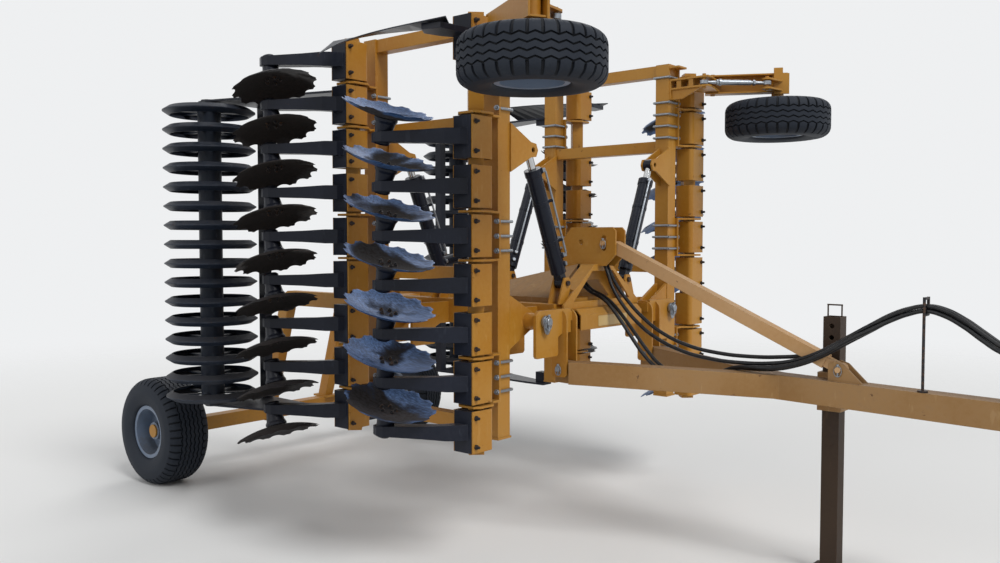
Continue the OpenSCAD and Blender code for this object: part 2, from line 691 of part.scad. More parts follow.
// The arm that holds a gauge wheel: a channel with an end plate, ears and the spindle
module gauge_arm() {
    a = gauge_arm_low;
    l = gauge_reach;
    half = 45;
    flange = 10;
    gauge_bracket();
    translate([gauge_pin[0], gauge_pin[1], 0]) rotate([0, 0, gauge_turn]) {
        for (z = [a, a + 117]) box([-50, -half, z], [l + 60, half, z + flange]);
        box([-20, half - flange, a + 1], [l + 60, half, a + 120]);
        box([l - 30, -half - 12, a - 15], [l + 70, -half + 0.5, a + 122]);
        box([l - 30, -half - 12, a + 121], [l + 28, -half, a + 160]);
        for (z = [a + 4, a + 64]) translate([0, 0, z]) linear_extrude(bracket_plate) {
            polygon([[l + 30, -half - 6], [l - 70, -half - 6], [l - 112, -148], [l - 54, -170]]);
            translate([l - 82, -154.6]) circle(r = 32);
        }
        translate([l - 82, -154.6, a - 4]) cylinder(d = gauge_pin_dia, h = 92);
    }
    translate([gauge_x, gauge_y, gauge_z - gauge_width / 4 - 12]) {
        cylinder(d = 44, h = gauge_width / 2 + 60);
        translate([0, 0, -seat_gap]) cylinder(d = 80, h = 12);
    }
    translate([gauge_x, gauge_y, gauge_z + gauge_width / 4 + seat_gap])
        cylinder(d = 80, h = a + 118 - gauge_z - gauge_width / 4);
}

// The turnbuckle from the bracket to the gauge wheel's arm
module turnbuckle() {
    z = gauge_arm_low + 44;
    l = norm(gauge_tip - gauge_root);
    turn = atan2(gauge_tip[1] - gauge_root[1], gauge_tip[0] - gauge_root[0]);
    translate([gauge_root[0], gauge_root[1], z]) rotate([0, 0, turn]) difference() {
        union() {
            for (x = [0, l]) translate([x, 0, -12]) cylinder(r = 27, h = 24);
            translate([l / 2, 0, 0]) x_cyl(11, l - 30, 32);
            translate([l / 2, 0, 0]) x_cyl(17, l * 0.48, 32);
            translate([l * 0.25, 0, 0]) x_cyl(22, 16, 32);
            for (x = [l * 0.25 - 24, l * 0.75 + 10]) translate([x, 0, 0]) rotate([0, 90, 0])
                cylinder(r = 19, h = 14, $fn = 6);
        }
        for (x = [0, l]) translate([x, 0, 0]) cylinder(r = gauge_pin_dia / 2 + 0.4, h = 60, center = true);
    }
}

// A tyre, drawn with its axle along Z
module tyre(od, id, w) {
    r = od / 2;
    h = w / 2;
    rotate_extrude($fn = 96) polygon([
        [id / 2, -h * 0.72], [id / 2 + 14, -h * 0.86], [r * 0.72, -h], [r - 46, -h * 0.95],
        [r - 16, -h * 0.84], [r - 3, -h * 0.66], [r, -h * 0.4], [r, h * 0.4], [r - 3, h * 0.66],
        [r - 16, h * 0.84], [r - 46, h * 0.95], [r * 0.72, h], [id / 2 + 14, h * 0.86],
        [id / 2, h * 0.72], [id / 2 - 18, h * 0.7], [id / 2 - 18, -h * 0.7]
    ]);
}

// A dished steel rim; the hub's bore runs on the spindle
module rim(id, w, bore) {
    h = w / 2;
    r = id / 2;
    difference() {
        union() {
            rotate_extrude($fn = 72) polygon([
                [r - 26, -h * 0.69], [r - 18.3, -h * 0.69], [r - 18.3, h * 0.69], [r - 26, h * 0.69]
            ]);
            for (s = [-1, 1]) translate([0, 0, s * h * 0.76]) rotate_extrude($fn = 72)
                polygon([[r - 26, -5], [r - 0.3, -5], [r - 0.3, 5], [r - 26, 5]]);
            for (s = [-1, 1]) rotate_extrude($fn = 72) polygon([
                [r - 26, s * h * 0.66], [r - 19, s * h * 0.66], [r - 19, s * h * 0.76],
                [r - 26, s * h * 0.76]
            ]);
            translate([0, 0, -5]) cylinder(r = r - 22, h = 10, $fn = 72);
            cylinder(r = 62, h = w * 0.5, center = true);
        }
        cylinder(r = bore / 2 + run_gap, h = w * 2, center = true);
    }
}

// Barrels of the front and the rear fold cylinder, drawn from their lower pins
module barrel_pair() {
    for (row = [0, 1]) translate([cyl_x - row * row_gap, cyl_low_y, cyl_low_z])
        rotate([cyl_angle - 90, 0, 0]) {
            difference() {
                union() {
                    x_cyl(34, 50);
                    translate([-25, -24, 0]) cube([50, 48, 70]);
                    translate([0, 0, 66]) cylinder(d = barrel_dia, h = 634);
                    translate([0, 0, 662]) cylinder(d = barrel_dia + 8, h = 38);
                }
                x_cyl(cyl_pin_dia / 2 + run_gap, 80);
                translate([0, 0, 84]) cylinder(d = barrel_dia - 16, h = 574);
                translate([0, 0, 600]) cylinder(r = rod_dia / 2 + run_gap, h = 300);
            }
        }
}

// Rods of the front and the rear fold cylinder
module rod_pair() {
    for (row = [0, 1]) translate([cyl_x - row * row_gap, cyl_low_y, cyl_low_z])
        rotate([cyl_angle - 90, 0, 0]) difference() {
            union() {
                translate([0, 0, 86]) cylinder(d = barrel_dia - 16 - 0.4, h = 10);
                translate([0, 0, 86]) cylinder(d = rod_dia, h = cyl_length - 86 - 20);
                translate([0, 0, cyl_length]) x_cyl(38, 50);
            }
            translate([0, 0, cyl_length]) x_cyl(cyl_pin_dia / 2 + 0.5, 80);
        }
}

// A hinge plate of the frame, from the long beam out to a wing's pivot
module frame_ear(x) {
    difference() {
        translate([x, 0, 0]) rotate([90, 0, 90]) linear_extrude(20) polygon([
            [long_y + long_width / 2 + 0.3, frame_low], [long_y + long_width / 2 + 0.3, frame_low + 135],
            [pivot_y + 45, frame_low + 135], [pivot_y + 70, frame_low + 110], [pivot_y + 70, 1112],
            [pivot_y + 58, 1100], [pivot_y - 118, 1100], [pivot_y - 130, 1112],
            [pivot_y - 130, frame_low - 20], [pivot_y - 170, frame_low]
        ]);
        translate([x, pivot_y, pivot_z]) x_cyl(pivot_dia / 2, 80);
    }
}

// Section of a cross beam, with its upper front edge cut off
function bevelled(half, low, high, cut) = cut > 0
    ? [[-half, low], [half, low], [half, high - cut], [half - cut, high], [-half, high]]
    : [[-half, low], [half, low], [half, high], [-half, high]];

module crossbeam(row) {
    half = cross_size / 2;
    inner = long_y - long_width / 2 - seat_gap;
    bevel = row == 0 ? cross_bevel : 0;
    wall = cross_wall;
    translate([-row * row_gap, 0, 0]) {
        for (s = [0, 1]) mirror([0, s, 0]) {
            frame_ear(hinge_x[0]);
            frame_ear(hinge_x[1]);
            translate([-50, pivot_y, pivot_z]) x_cyl(pivot_dia / 2, 280);
            translate([94, pivot_y, pivot_z]) x_cyl(34, 12);
        }
    }
    translate([20 - row * row_gap, inner, frame_low]) rotate([90, 0, 0]) difference() {
        linear_extrude(2 * inner) polygon(bevelled(half, 0, cross_size, bevel));
        translate([0, 0, -1]) linear_extrude(2 * inner + 2)
            polygon(bevelled(half - wall, wall, cross_size - wall, bevel - 0.6 * wall));
    }
}

// A plate with a round upper corner that carries one side of the drawbar's pin
module draw_bracket(y) {
    r = 60;
    translate([0, y + 6, 0]) rotate([90, 0, 0]) linear_extrude(12) difference() {
        union() {
            polygon([[5, 985], [15, 975], [95, 975], [110, 990], [110, 1358 - r], [5, 1358 - r]]);
            translate([5, 1358 - r - 1]) square([105 - r, r + 1]);
            translate([110 - r, 1358 - r]) circle(r = r);
        }
        translate([draw_pin[0], draw_pin[1]]) circle(r = 15);
    }
}

module front_crossbeam() {
    color(paint) at_row() {
        difference() {
            crossbeam(0);
            box([-50, -460, frame_low - 1], [-40, 460, frame_low]);
        }
        for (s = [0, 1]) mirror([0, s, 0]) {
            draw_bracket(414);
            draw_bracket(506);
            translate([draw_pin[0], 460, draw_pin[1]]) y_cyl(15, 130);
            box([-41.7, 400, 1290], [80.2, 512, 1345]);
            box([5, 419, 1085], [5 + frame_plate, 501, 1291]);
        }
    }
}

module rear_crossbeam() {
    color(paint) at_row() {
        crossbeam(1);
        for (y = [-40, 28]) difference() {
            translate([0, y + 12, 0]) rotate([90, 0, 0]) linear_extrude(12) polygon([
                [-875, 1345], [-960, 1700], [-1010, 1706], [-1050, 1690], [-1056, 1640], [-985, 1345]
            ]);
            translate([frame_pin[0], y + 6, frame_pin[1]]) y_cyl(cyl_pin_dia / 2, 60);
        }
        translate([frame_pin[0], 0, frame_pin[1]]) y_cyl(cyl_pin_dia / 2, 96);
    }
}

module long_beams() {
    color(paint) at_row() for (s = [0, 1]) mirror([0, s, 0]) {
        difference() {
            box([-1330, long_y - long_width / 2, frame_low], [-42, long_y + long_width / 2, frame_low + long_height]);
            translate([swing_x, long_y, swing_z]) y_cyl(swing_dia / 2, 200);
        }
        for (row = [0, 1], x = [-42, 30]) difference() {
            translate([cyl_x + x - row * row_gap, 0, 0]) rotate([90, 0, 90]) linear_extrude(12) polygon([
                [cyl_low_y, frame_low + long_height - 1], [cyl_low_y + 78, frame_low + long_height - 1],
                [cyl_low_y + 36, cyl_low_z], [cyl_low_y + 22, cyl_low_z + 32],
                [cyl_low_y - 22, cyl_low_z + 32], [cyl_low_y - 36, cyl_low_z], [cyl_low_y - 30, cyl_low_z - 40]
            ]);
            translate([cyl_x + x - row * row_gap, cyl_low_y, cyl_low_z]) x_cyl(cyl_pin_dia / 2, 60);
        }
        for (row = [0, 1]) translate([cyl_x - row * row_gap, cyl_low_y, cyl_low_z])
            x_cyl(cyl_pin_dia / 2, 110);
        translate([swing_x, 325, swing_z]) y_cyl(swing_dia / 2, 200);
        translate([swing_x, 229.7, swing_z]) y_cyl(swing_dia / 2 + 12, 20);
    }
}

// Side view of a tower plate, with a slot for the top stay's pin
module tower_side() {
    difference() {
        polygon([
            [-255, ridge_z], [-255, 1745], [-190, 1822], [112, 1822], [133, 1800], [133, 1657],
            [64, 1590], [8, 1590], [8, ridge_z - 6], [-100, ridge_z - 6], [-100, ridge_z]
        ]);
        translate(stay_high) {
            square([32, 63], center = true);
            for (z = [-31.5, 31.5]) translate([0, z]) circle(r = 16);
        }
        translate([-115, 1733]) circle(r = 16);
    }
}

// A plate across the machine under the tower's roof, with an opening
module gable(x, half, opening) {
    foot = frame_low + cross_size + seat_gap;
    translate([x, 0, 0]) rotate([90, 0, 90]) linear_extrude(frame_plate) difference() {
        polygon([
            [-half, foot], [half, foot], [half, roof(half)], [ridge_half, ridge_z],
            [-ridge_half, ridge_z], [-half, roof(half)]
        ]);
        polygon(opening);
    }
}

module tower() {
    color(paint) at_row() {
        for (y = [-56, 44]) translate([0, y + 12, 0]) rotate([90, 0, 0]) linear_extrude(12) tower_side();
        gable(-4, 400, [[-300, 1385], [300, 1385], [110, 1560], [-110, 1560]]);
        gable(-86, 285, [[-190, 1397], [190, 1397], [80, 1502], [-80, 1502]]);
        box([-100, -ridge_half, ridge_z - 12], [8, ridge_half, ridge_z]);
        for (s = [0, 1]) mirror([0, s, 0]) translate([-86, 0, 0]) rotate([90, 0, 90])
            linear_extrude(84) polygon([
                [ridge_half - 2, ridge_z - 1], [285, roof(285)], [285, roof(285) - 15],
                [ridge_half - 2, ridge_z - 15]
            ]);
    }
}

// One side of the sheet cover behind the tower, from its flange on the long beam up to the hoses
module cover_side() {
    steps = 6;
    low = frame_low + long_height + seat_gap;
    rows = [for (k = [0:steps]) let (x = -125 - 575 * k / steps, high = ridge_z - 118 * k / steps)
        [[x, 70, high], [x, 332, low + 29], [x, 332, low + 23], [x, 70, high - 6]]];
    points = [for (row = rows, p = row) p];
    faces = concat(
        [[0, 1, 2, 3]],
        [for (i = [0:steps - 1], k = [0:3]) let (b = 4 * i, m = (k + 1) % 4) [b + k, b + 4 + k, b + 4 + m]],
        [for (i = [0:steps - 1], k = [0:3]) let (b = 4 * i, m = (k + 1) % 4) [b + k, b + 4 + m, b + m]],
        [[for (k = [3:-1:0]) 4 * steps + k]]
    );
    polyhedron(points = points, faces = faces, convexity = 4);
    box([-700, 330, low], [-125, 336, low + 31]);
}

module cover() {
    color(paint) at_row() for (s = [0, 1]) mirror([0, s, 0]) cover_side();
}

module drawbar() {
    color(paint) at_row() difference() {
        union() {
            for (s = [0, 1]) mirror([0, s, 0]) draw_leg();
            draw_tube(draw_meet_x - 60, eye_x - 130);
            difference() {
                box([leg_x - 62, draw_width / 2 - 4, draw_z(leg_x) - 110],
                    [leg_x + 62, leg_y + 62, draw_z(leg_x) + 90]);
                box([leg_x - leg_size / 2 - slide_gap, leg_y - leg_size / 2 - slide_gap, 0],
                    [leg_x + leg_size / 2 + slide_gap, leg_y + leg_size / 2 + slide_gap, 3000]);
            }
            for (y = [-41, 29]) translate([0, y + 12, 0]) rotate([90, 0, 0]) linear_extrude(12)
                polygon([
                    [1400, draw_z(1400) + 50], [1400, 1120], [1440, 1134], [1480, 1120],
                    [1590, draw_z(1590) + 50]
                ]);
        }
        translate([stay_low[0], 0, stay_low[1]]) y_cyl(15, 200);
    }
}

// The drawbar's straight tube
module draw_tube(from, to) {
    h = draw_height / 2;
    translate([0, draw_width / 2, 0]) rotate([90, 0, 0]) linear_extrude(draw_width) polygon([
        [from, draw_z(from) - h], [to, draw_z(to) - h], [to, draw_z(to) + h], [from, draw_z(from) + h]
    ]);
}

// One leg of the drawbar's fork, with the lug between its bracket plates
module draw_leg() {
    h = draw_height / 2 - 2;
    difference() {
        intersection() {
            translate([0, 600, 0]) rotate([90, 0, 0]) linear_extrude(700) polygon([
                [14, draw_z(0) - h], [draw_meet_x + 120, draw_z(draw_meet_x + 120) - h],
                [draw_meet_x + 120, draw_z(draw_meet_x + 120) + h], [14, draw_z(0) + h]
            ]);
            translate([0, 0, 800]) linear_extrude(400) polygon([
                [14, 431], [14, 489], [118, 489], [124, 514], [draw_meet_x + 20, draw_width / 2],
                [draw_meet_x + 20, -1], [draw_meet_x - 90, -1], [124, 406], [118, 431]
            ]);
        }
        translate([draw_pin[0], 460, draw_pin[1]]) y_cyl(15.1, 130);
    }
}

module tow_eye() {
    z = draw_z(eye_x);
    color(black) at_row() difference() {
        union() {
            translate([eye_x, 0, z]) cylinder(r = 60, h = 44, center = true);
            box([eye_x - 124, -35, z - 22], [eye_x - 30, 35, z + 22]);
            box([eye_x - 129.7, -55, z - 60], [eye_x - 110, 55, z + 60]);
        }
        translate([eye_x, 0, z]) cylinder(d = eye_bore, h = 100, center = true);
    }
}

module top_stay() {
    dx = stay_low[0] - stay_high[0];
    dz = stay_low[1] - stay_high[1];
    l = norm([dx, dz]);
    a = atan2(-dz, dx);
    color(paint) at_row() translate([stay_high[0], 0, stay_high[1]]) rotate([0, 90 + a, 0]) {
        translate([-stay_size / 2, -stay_size / 2, 50]) cube([stay_size, stay_size, l - 130]);
        translate([-26, -26, 0]) cube([52, 52, l]);
        for (z = [0, l]) translate([0, 0, z]) y_cyl(32, 52);
        translate([0, 0, 0]) y_cyl(14.9, 150);
        translate([0, 0, l]) y_cyl(14.9, 110);
    }
}

module hose_holder() {
    z = draw_z(1827) + draw_height / 2 + 0.3;
    color(steel) at_row() {
        translate([1851, -34, z]) cylinder(r = 24, h = 8);
        translate([1851, -34, z + 4]) cylinder(r = 7, h = 1474 - z - 4);
        translate([1851, 34, 1388.7]) cylinder(r = 7, h = 1474 - 1388.7);
        for (h = [1388.7, 1467]) translate([1851, 0, h]) y_cyl(7, 68);
    }
}

module valve_block() {
    color(steel) at_row() {
        box([-200, -43.7, 1600], [-110, 43.7, 1720]);
        for (y = [-26, 0, 26], z = [1625, 1665, 1700])
            translate([-225, y, z]) x_cyl(11, 52, 24);
    }
}

module couplers() {
    color(steel) at_row() {
        z = draw_z(2320) + draw_height / 2 + 0.3;
        box([2320, -66, z], [2380, 50, z + 60]);
        for (y = [-50, -22, 6, 34]) translate([2350, y, z + 58]) cylinder(r = 13, h = 1112.6 - z - 58, $fn = 32);
    }
}

// A hose: a closed tube swept through its route
module hose(route) {
    n = 8;
    r = hose_dia / 2;
    last = len(route) - 1;
    dir = [for (i = [0:last])
        let (d = route[min(i + 1, last)] - route[max(i - 1, 0)]) d / norm(d)];
    side = [for (i = [0:last]) let (c = cross(dir[i], [0, 1, 0])) c / norm(c)];
    points = [for (i = [0:last], k = [0:n - 1])
        let (a = 360 * k / n, up = cross(dir[i], side[i]))
        route[i] + r * (cos(a) * side[i] + sin(a) * up)];
    faces = concat(
        [[for (k = [0:n - 1]) k]],
        [for (i = [0:last - 1], k = [0:n - 1]) let (b = i * n, m = (k + 1) % n)
            [b + k, b + n + k, b + n + m]],
        [for (i = [0:last - 1], k = [0:n - 1]) let (b = i * n, m = (k + 1) % n)
            [b + k, b + n + m, b + m]],
        [[for (k = [n - 1:-1:0]) last * n + k]]
    );
    polyhedron(points = points, faces = faces, convexity = 4);
}

module hose_1() { color(rubber) at_row() hose(hose_route_1); }
module hose_2() { color(rubber) at_row() hose(hose_route_2); }
module hose_3() { color(rubber) at_row() hose(hose_route_3); }
module hose_4() { color(rubber) at_row() hose(hose_route_4); }

// The swinging frame that carries the transport axle
module chassis() {
    color(paint) at_row() {
        for (s = [0, 1]) mirror([0, s, 0]) {
            difference() {
                union() {
                    translate([0, 320, 0]) rotate([90, 0, 0]) linear_extrude(80) polygon([
                        [swing_x + 60, 1245], [swing_x + 60, 1355], [-2680, 1355], [-2765, 1310],
                        [axle_x - 45, axle_z + 51], [axle_x + 45, axle_z + 51], [-2675, 1245]
                    ]);
                }
                translate([swing_x, 280, swing_z]) y_cyl(swing_dia / 2 + run_gap, 200);
            }
            axle_clamps();
            spindle();
        }
        box([axle_x - axle_size / 2, -980, axle_z - axle_size / 2],
            [axle_x + axle_size / 2, 980, axle_z + axle_size / 2]);
        box([-1900, -241, 1260], [-1800, 241, 1340]);
        for (y = [-42, 30]) difference() {
            translate([0, y + 12, 0]) rotate([90, 0, 0]) linear_extrude(12) polygon([
                [-1900, 1339], [-1800, 1339], [-1815, 1490], [-1850, 1508], [-1885, 1490]
            ]);
            translate([chassis_pin[0], y + 6, chassis_pin[1]]) y_cyl(cyl_pin_dia / 2, 60);
        }
    }
}

module axle_clamps() {
    box([axle_x - 90, 230, axle_z + axle_size / 2], [axle_x + 90, 330, axle_z + axle_size / 2 + 16]);
    box([axle_x - 90, 230, axle_z - axle_size / 2 - 16], [axle_x + 90, 330, axle_z - axle_size / 2]);
}

module spindle() {
    translate([axle_x, 1125, axle_z]) y_cyl(30, 306);
    translate([axle_x, wheel_y + hub_seat, axle_z]) y_cyl(46, 12);
    translate([axle_x, wheel_y - hub_seat, axle_z]) y_cyl(46, 12);
}

module chassis_barrel() {
    a = atan2(chassis_pin[1] - frame_pin[1], chassis_pin[0] - frame_pin[0]);
    color(black) at_row() translate([frame_pin[0], 0, frame_pin[1]]) rotate([0, 90 - a, 0]) difference() {
        union() {
            y_cyl(34, 50);
            translate([-24, -25, 0]) cube([48, 50, 70]);
            translate([0, 0, 66]) cylinder(d = 80, h = 542);
        }
        y_cyl(cyl_pin_dia / 2 + run_gap, 80);
        translate([0, 0, 84]) cylinder(d = 64, h = 496);
        translate([0, 0, 500]) cylinder(r = 20 + run_gap, h = 300);
    }
}

module chassis_rod() {
    a = atan2(chassis_pin[1] - frame_pin[1], chassis_pin[0] - frame_pin[0]);
    l = norm(chassis_pin - frame_pin);
    color(steel) at_row() translate([frame_pin[0], 0, frame_pin[1]]) rotate([0, 90 - a, 0]) difference() {
        union() {
            translate([0, 0, 260]) cylinder(d = 63.6, h = 30);
            translate([0, 0, 260]) cylinder(r = 20, h = l - 280);
            translate([0, 0, l]) y_cyl(34, 50);
        }
        translate([0, 0, l]) y_cyl(cyl_pin_dia / 2 + 0.5, 80);
    }
}

module leg() {
    color(paint) at_row() translate([leg_x, leg_y, 0]) {
        difference() {
            translate([0, 0, 14]) z_tube(leg_size, 0, leg_top - 14, 6);
            for (z = [1060:60:1300]) translate([0, 0, z]) y_cyl(13, 200, 24);
        }
        translate([-100, -80, 0]) cube([200, 160, 14]);
        translate([0, 0, 14]) box([-leg_size / 2, -leg_size / 2, 0], [leg_size / 2, leg_size / 2, 12]);
        for (x = [-36, 36]) translate([x, 0, leg_top - 10]) cylinder(r = 4, h = 70, $fn = 16);
        translate([0, 0, leg_top + 60]) x_cyl(4, 80, 16);
    }
}

module wheel_at(side) {
    on_side(side) translate([axle_x, wheel_y, axle_z]) rotate([-90, 0, 0]) children();
}

module gauge_at(side) {
    on_side(side) translate([gauge_x, gauge_y, gauge_z]) children();
}

module right_tyre() { color(rubber) wheel_at(-1) tyre(tyre_dia, rim_dia, tyre_width); }
module left_tyre() { color(rubber) wheel_at(1) tyre(tyre_dia, rim_dia, tyre_width); }
module right_rim() { color(steel) wheel_at(-1) rim(rim_dia, tyre_width, 60); }
module left_rim() { color(steel) wheel_at(1) rim(rim_dia, tyre_width, 60); }
module right_gauge_tyre() { color(rubber) gauge_at(-1) tyre(gauge_dia, gauge_rim_dia, gauge_width); }
module left_gauge_tyre() { color(rubber) gauge_at(1) tyre(gauge_dia, gauge_rim_dia, gauge_width); }
module right_gauge_rim() { color(paint) gauge_at(-1) rim(gauge_rim_dia, gauge_width, 44); }
module left_gauge_rim() { color(paint) gauge_at(1) rim(gauge_rim_dia, gauge_width, 44); }
module right_gauge_arm() { color(paint) on_side(-1) gauge_arm(); }
module left_gauge_arm() { color(paint) on_side(1) gauge_arm(); }
module right_beams() { color(paint) on_side(-1) wing_beams(); }
module left_beams() { color(paint) on_side(1) wing_beams(); }
module right_ubolts() { color(steel) on_side(-1) bracket_ubolts(); }
module left_ubolts() { color(steel) on_side(1) bracket_ubolts(); }
module right_turnbuckle() { color(steel) on_side(-1) turnbuckle(); }
module left_turnbuckle() { color(steel) on_side(1) turnbuckle(); }
module right_ties() { color(paint) on_side(-1) wing_ties(); }
module left_ties() { color(paint) on_side(1) wing_ties(); }
module right_disc_beams() { color(paint) on_side(-1) disc_beams(); }
module left_disc_beams() { color(paint) on_side(1) disc_beams(); }
module right_roller_arms() { color(black) on_side(-1) roller_arms(); }
module left_roller_arms() { color(black) on_side(1) roller_arms(); }
module right_roller() { color(black) on_side(-1) roller(); }
module left_roller() { color(black) on_side(1) roller(); }
module right_barrels() { color(black) on_side(-1) barrel_pair(); }
module left_barrels() { color(black) on_side(1) barrel_pair(); }
module right_rods() { color(steel) on_side(-1) rod_pair(); }
module left_rods() { color(steel) on_side(1) rod_pair(); }
module right_clamps() { color(paint) on_side(-1) stations(right_rows, right_shields) clamp_plate_half(); }
module left_clamps() { color(paint) on_side(1) stations(left_rows, left_shields) clamp_plate_half(); }
module right_rubbers() { color(rubber) on_side(-1) stations(right_rows, right_shields) rubber_cords(); }
module left_rubbers() { color(rubber) on_side(1) stations(left_rows, left_shields) rubber_cords(); }

module arms(rows) {
    for (r = rows, k = [r[1]:r[2]])
        translate([disc_beam_x - r[0] * row_gap, disc_beam_y, row_z[k]]) disc_arm(r[3]);
}

module discs(rows) {
    for (r = rows, k = [r[1]:r[2]])
        translate([disc_beam_x - r[0] * row_gap, disc_beam_y, row_z[k]]) disc(r[3]);
}

module shields(list) {
    for (s = list) translate([disc_beam_x - s[0] * row_gap, disc_beam_y, row_z[s[1]]]) shield();
}

module right_arms() { color(black) on_side(-1) arms(right_rows); }
module left_arms() { color(black) on_side(1) arms(left_rows); }
module right_discs() { color(steel) on_side(-1) discs(right_rows); }
module left_discs() { color(steel) on_side(1) discs(left_rows); }
module right_shield() { color(black) on_side(-1) shields(right_shields); }
module left_shield() { color(black) on_side(1) shields(left_shields); }

front_crossbeam();
rear_crossbeam();
long_beams();
tower();
cover();
drawbar();
tow_eye();
top_stay();
hose_holder();
valve_block();
couplers();
hose_1();
hose_2();
hose_3();
hose_4();
chassis();
chassis_barrel();
chassis_rod();
leg();
right_tyre();
right_rim();
left_tyre();
left_rim();
right_beams();
right_ties();
right_disc_beams();
right_ubolts();
right_clamps();
right_rubbers();
right_arms();
right_discs();
right_shield();
right_roller_arms();
right_roller();
right_gauge_arm();
right_turnbuckle();
right_gauge_tyre();
right_gauge_rim();
right_barrels();
right_rods();
left_beams();
left_ties();
left_disc_beams();
left_ubolts();
left_clamps();
left_rubbers();
left_arms();
left_discs();
left_shield();
left_roller_arms();
left_roller();
left_gauge_arm();
left_turnbuckle();
left_gauge_tyre();
left_gauge_rim();
left_barrels();
left_rods();
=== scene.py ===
"""The looks of a disc harrow folded for the road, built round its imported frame."""
import math
import random

import bmesh
import bpy
from mathutils import Matrix, Vector


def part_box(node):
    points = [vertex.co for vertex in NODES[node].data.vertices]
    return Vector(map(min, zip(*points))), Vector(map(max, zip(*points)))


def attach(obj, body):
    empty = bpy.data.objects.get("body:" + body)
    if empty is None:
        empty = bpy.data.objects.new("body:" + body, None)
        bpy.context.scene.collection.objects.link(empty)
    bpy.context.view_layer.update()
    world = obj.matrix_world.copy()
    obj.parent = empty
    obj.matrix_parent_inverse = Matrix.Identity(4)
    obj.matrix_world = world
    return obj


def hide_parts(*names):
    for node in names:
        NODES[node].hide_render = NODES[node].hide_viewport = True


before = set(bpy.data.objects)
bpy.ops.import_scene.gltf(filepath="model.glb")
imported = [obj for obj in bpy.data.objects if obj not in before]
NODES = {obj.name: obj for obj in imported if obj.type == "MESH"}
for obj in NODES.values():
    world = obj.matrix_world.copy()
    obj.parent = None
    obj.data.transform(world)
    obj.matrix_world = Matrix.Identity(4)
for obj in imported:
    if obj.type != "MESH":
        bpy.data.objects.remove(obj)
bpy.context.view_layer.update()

# Place of the front disc row in the shared frame
ROW = Vector((0.3295, 0.0, 0.0))
RIGHT = -1
LEFT = 1
SIDE_NAMES = {RIGHT: "right", LEFT: "left"}

# Camera of the photograph: place, turn in degrees and focal length in millimetres
CAMERA_PLACE = (3.4229, -4.6251, 1.7445)
CAMERA_TURN = (87.403, 0.0, 40.15)
CAMERA_LENS = 32.82

# Rows of discs: side, row, first station, last station, way the hollow faces
ROWS = [(RIGHT, 0, 0, 6, 1), (RIGHT, 1, 0, 8, -1), (LEFT, 0, 0, 8, -1), (LEFT, 1, 0, 6, 1)]
# Rows that end in a shield: side, row, station
SHIELDS = [(RIGHT, 0, 8), (LEFT, 1, 8)]
ROW_GAP = 0.950
STATION_LOW = 0.766
STATION_PITCH = 0.250
DISC_BEAM = Vector((-0.030, 1.115, 0.0))

# Disc: sizes and place on its arm
DISC_RADIUS = 0.245
DISH_RADIUS = 0.600
DISC_THICK = 0.006
DISC_ANGLE = math.radians(18)
DISC_STAND = 0.1025
HUB = Vector((-0.352, 0.322, 0.0))
NOTCHES = 12
NOTCH_DEPTH = 0.022
DISC_BOLTS = 5
DISC_BOLT_RING = 0.040
DISC_BOLT_SEAT = 0.0065

# Clamp: half the depth of the bent plate round each arm's casting
CLAMP_HALF = 0.0665
# Its two bolts: out from the clamp's middle, above and below it, and where their washers seat
CLAMP_BOLT_OUT = 0.0775
CLAMP_BOLT_RISE = 0.074
CLAMP_BOLT_SEAT = 0.0622

# Wheels: ring radius and number of the nuts, and half the thickness of the wheel's disc
RIM_RING = 0.086
RIM_NUTS = 6
GAUGE_RIM_RING = 0.084
GAUGE_RIM_NUTS = 5
WHEEL_DISC_HALF = 0.0045

# Tyres. The shoulder's blocks start at block_start from the middle, and periods counts them
# round the tyre. The zigzag is how far the grooves swing to each side.
GAUGE_TYRE = {"radius": 0.345, "half": 0.125, "bead": 0.175, "block_start": 0.0585,
              "grooves": (-0.052, -0.0175, 0.0175, 0.052),
              "periods": 32, "zigzag": 0.0065, "depth": 0.011}
ROAD_TYRE = {"radius": 0.379, "half": 0.156, "bead": 0.188, "block_start": 0.087,
             "grooves": (-0.08, -0.048, -0.016, 0.016, 0.048, 0.08),
             "periods": 44, "zigzag": 0.005, "depth": 0.012}

# Pins whose ends show, ahead of the row's origin: a wing's hinge, the drawbar's, both of the
# stay's and the leg's
HINGE_PIN = Vector((0.100, 0.680, 1.300))
DRAW_PIN = Vector((0.055, 0.518, 1.020))
STAY_PIN = Vector((0.050, 0.066, 1.727))
STAY_FOOT_PIN = Vector((1.452, 0.049, 1.092))
LEG_PIN = Vector((1.372, 0.194, 1.030))
PIVOT_RADIUS = 0.0225
PLAIN_PIN_RADIUS = 0.015
LEG_PIN_RADIUS = 0.009
HINGE_COLLAR_RADIUS = 0.034
HINGE_PLATE_FACE = 0.0802
ROD_EYE_RADIUS = 0.038

# Fold cylinders: lower and upper pins, and the barrel
CYLINDER_X = -0.062
CYLINDER_LOW = Vector((CYLINDER_X, 0.330, 1.495))
CYLINDER_HIGH = Vector((CYLINDER_X, 0.650, 2.240))
BARREL_RADIUS = 0.045
COLLAR_RADIUS = 0.049
# Their fittings lie on the side that faces up when the cylinder lies down
PORT_SIDE = Vector((0.8, -0.6, 0.0))
PIPE_TOP = 0.681
PIPE_FOOT = 0.166
PIPE_STAND = COLLAR_RADIUS + 0.021
# Each port: its height, the radius it stands on and how far out its nut reaches
PORTS = [(PIPE_TOP, COLLAR_RADIUS, 0.026), (0.112, BARREL_RADIUS, 0.020), (PIPE_FOOT, BARREL_RADIUS, 0.030)]
BAND_HEIGHTS = (0.26, 0.50)

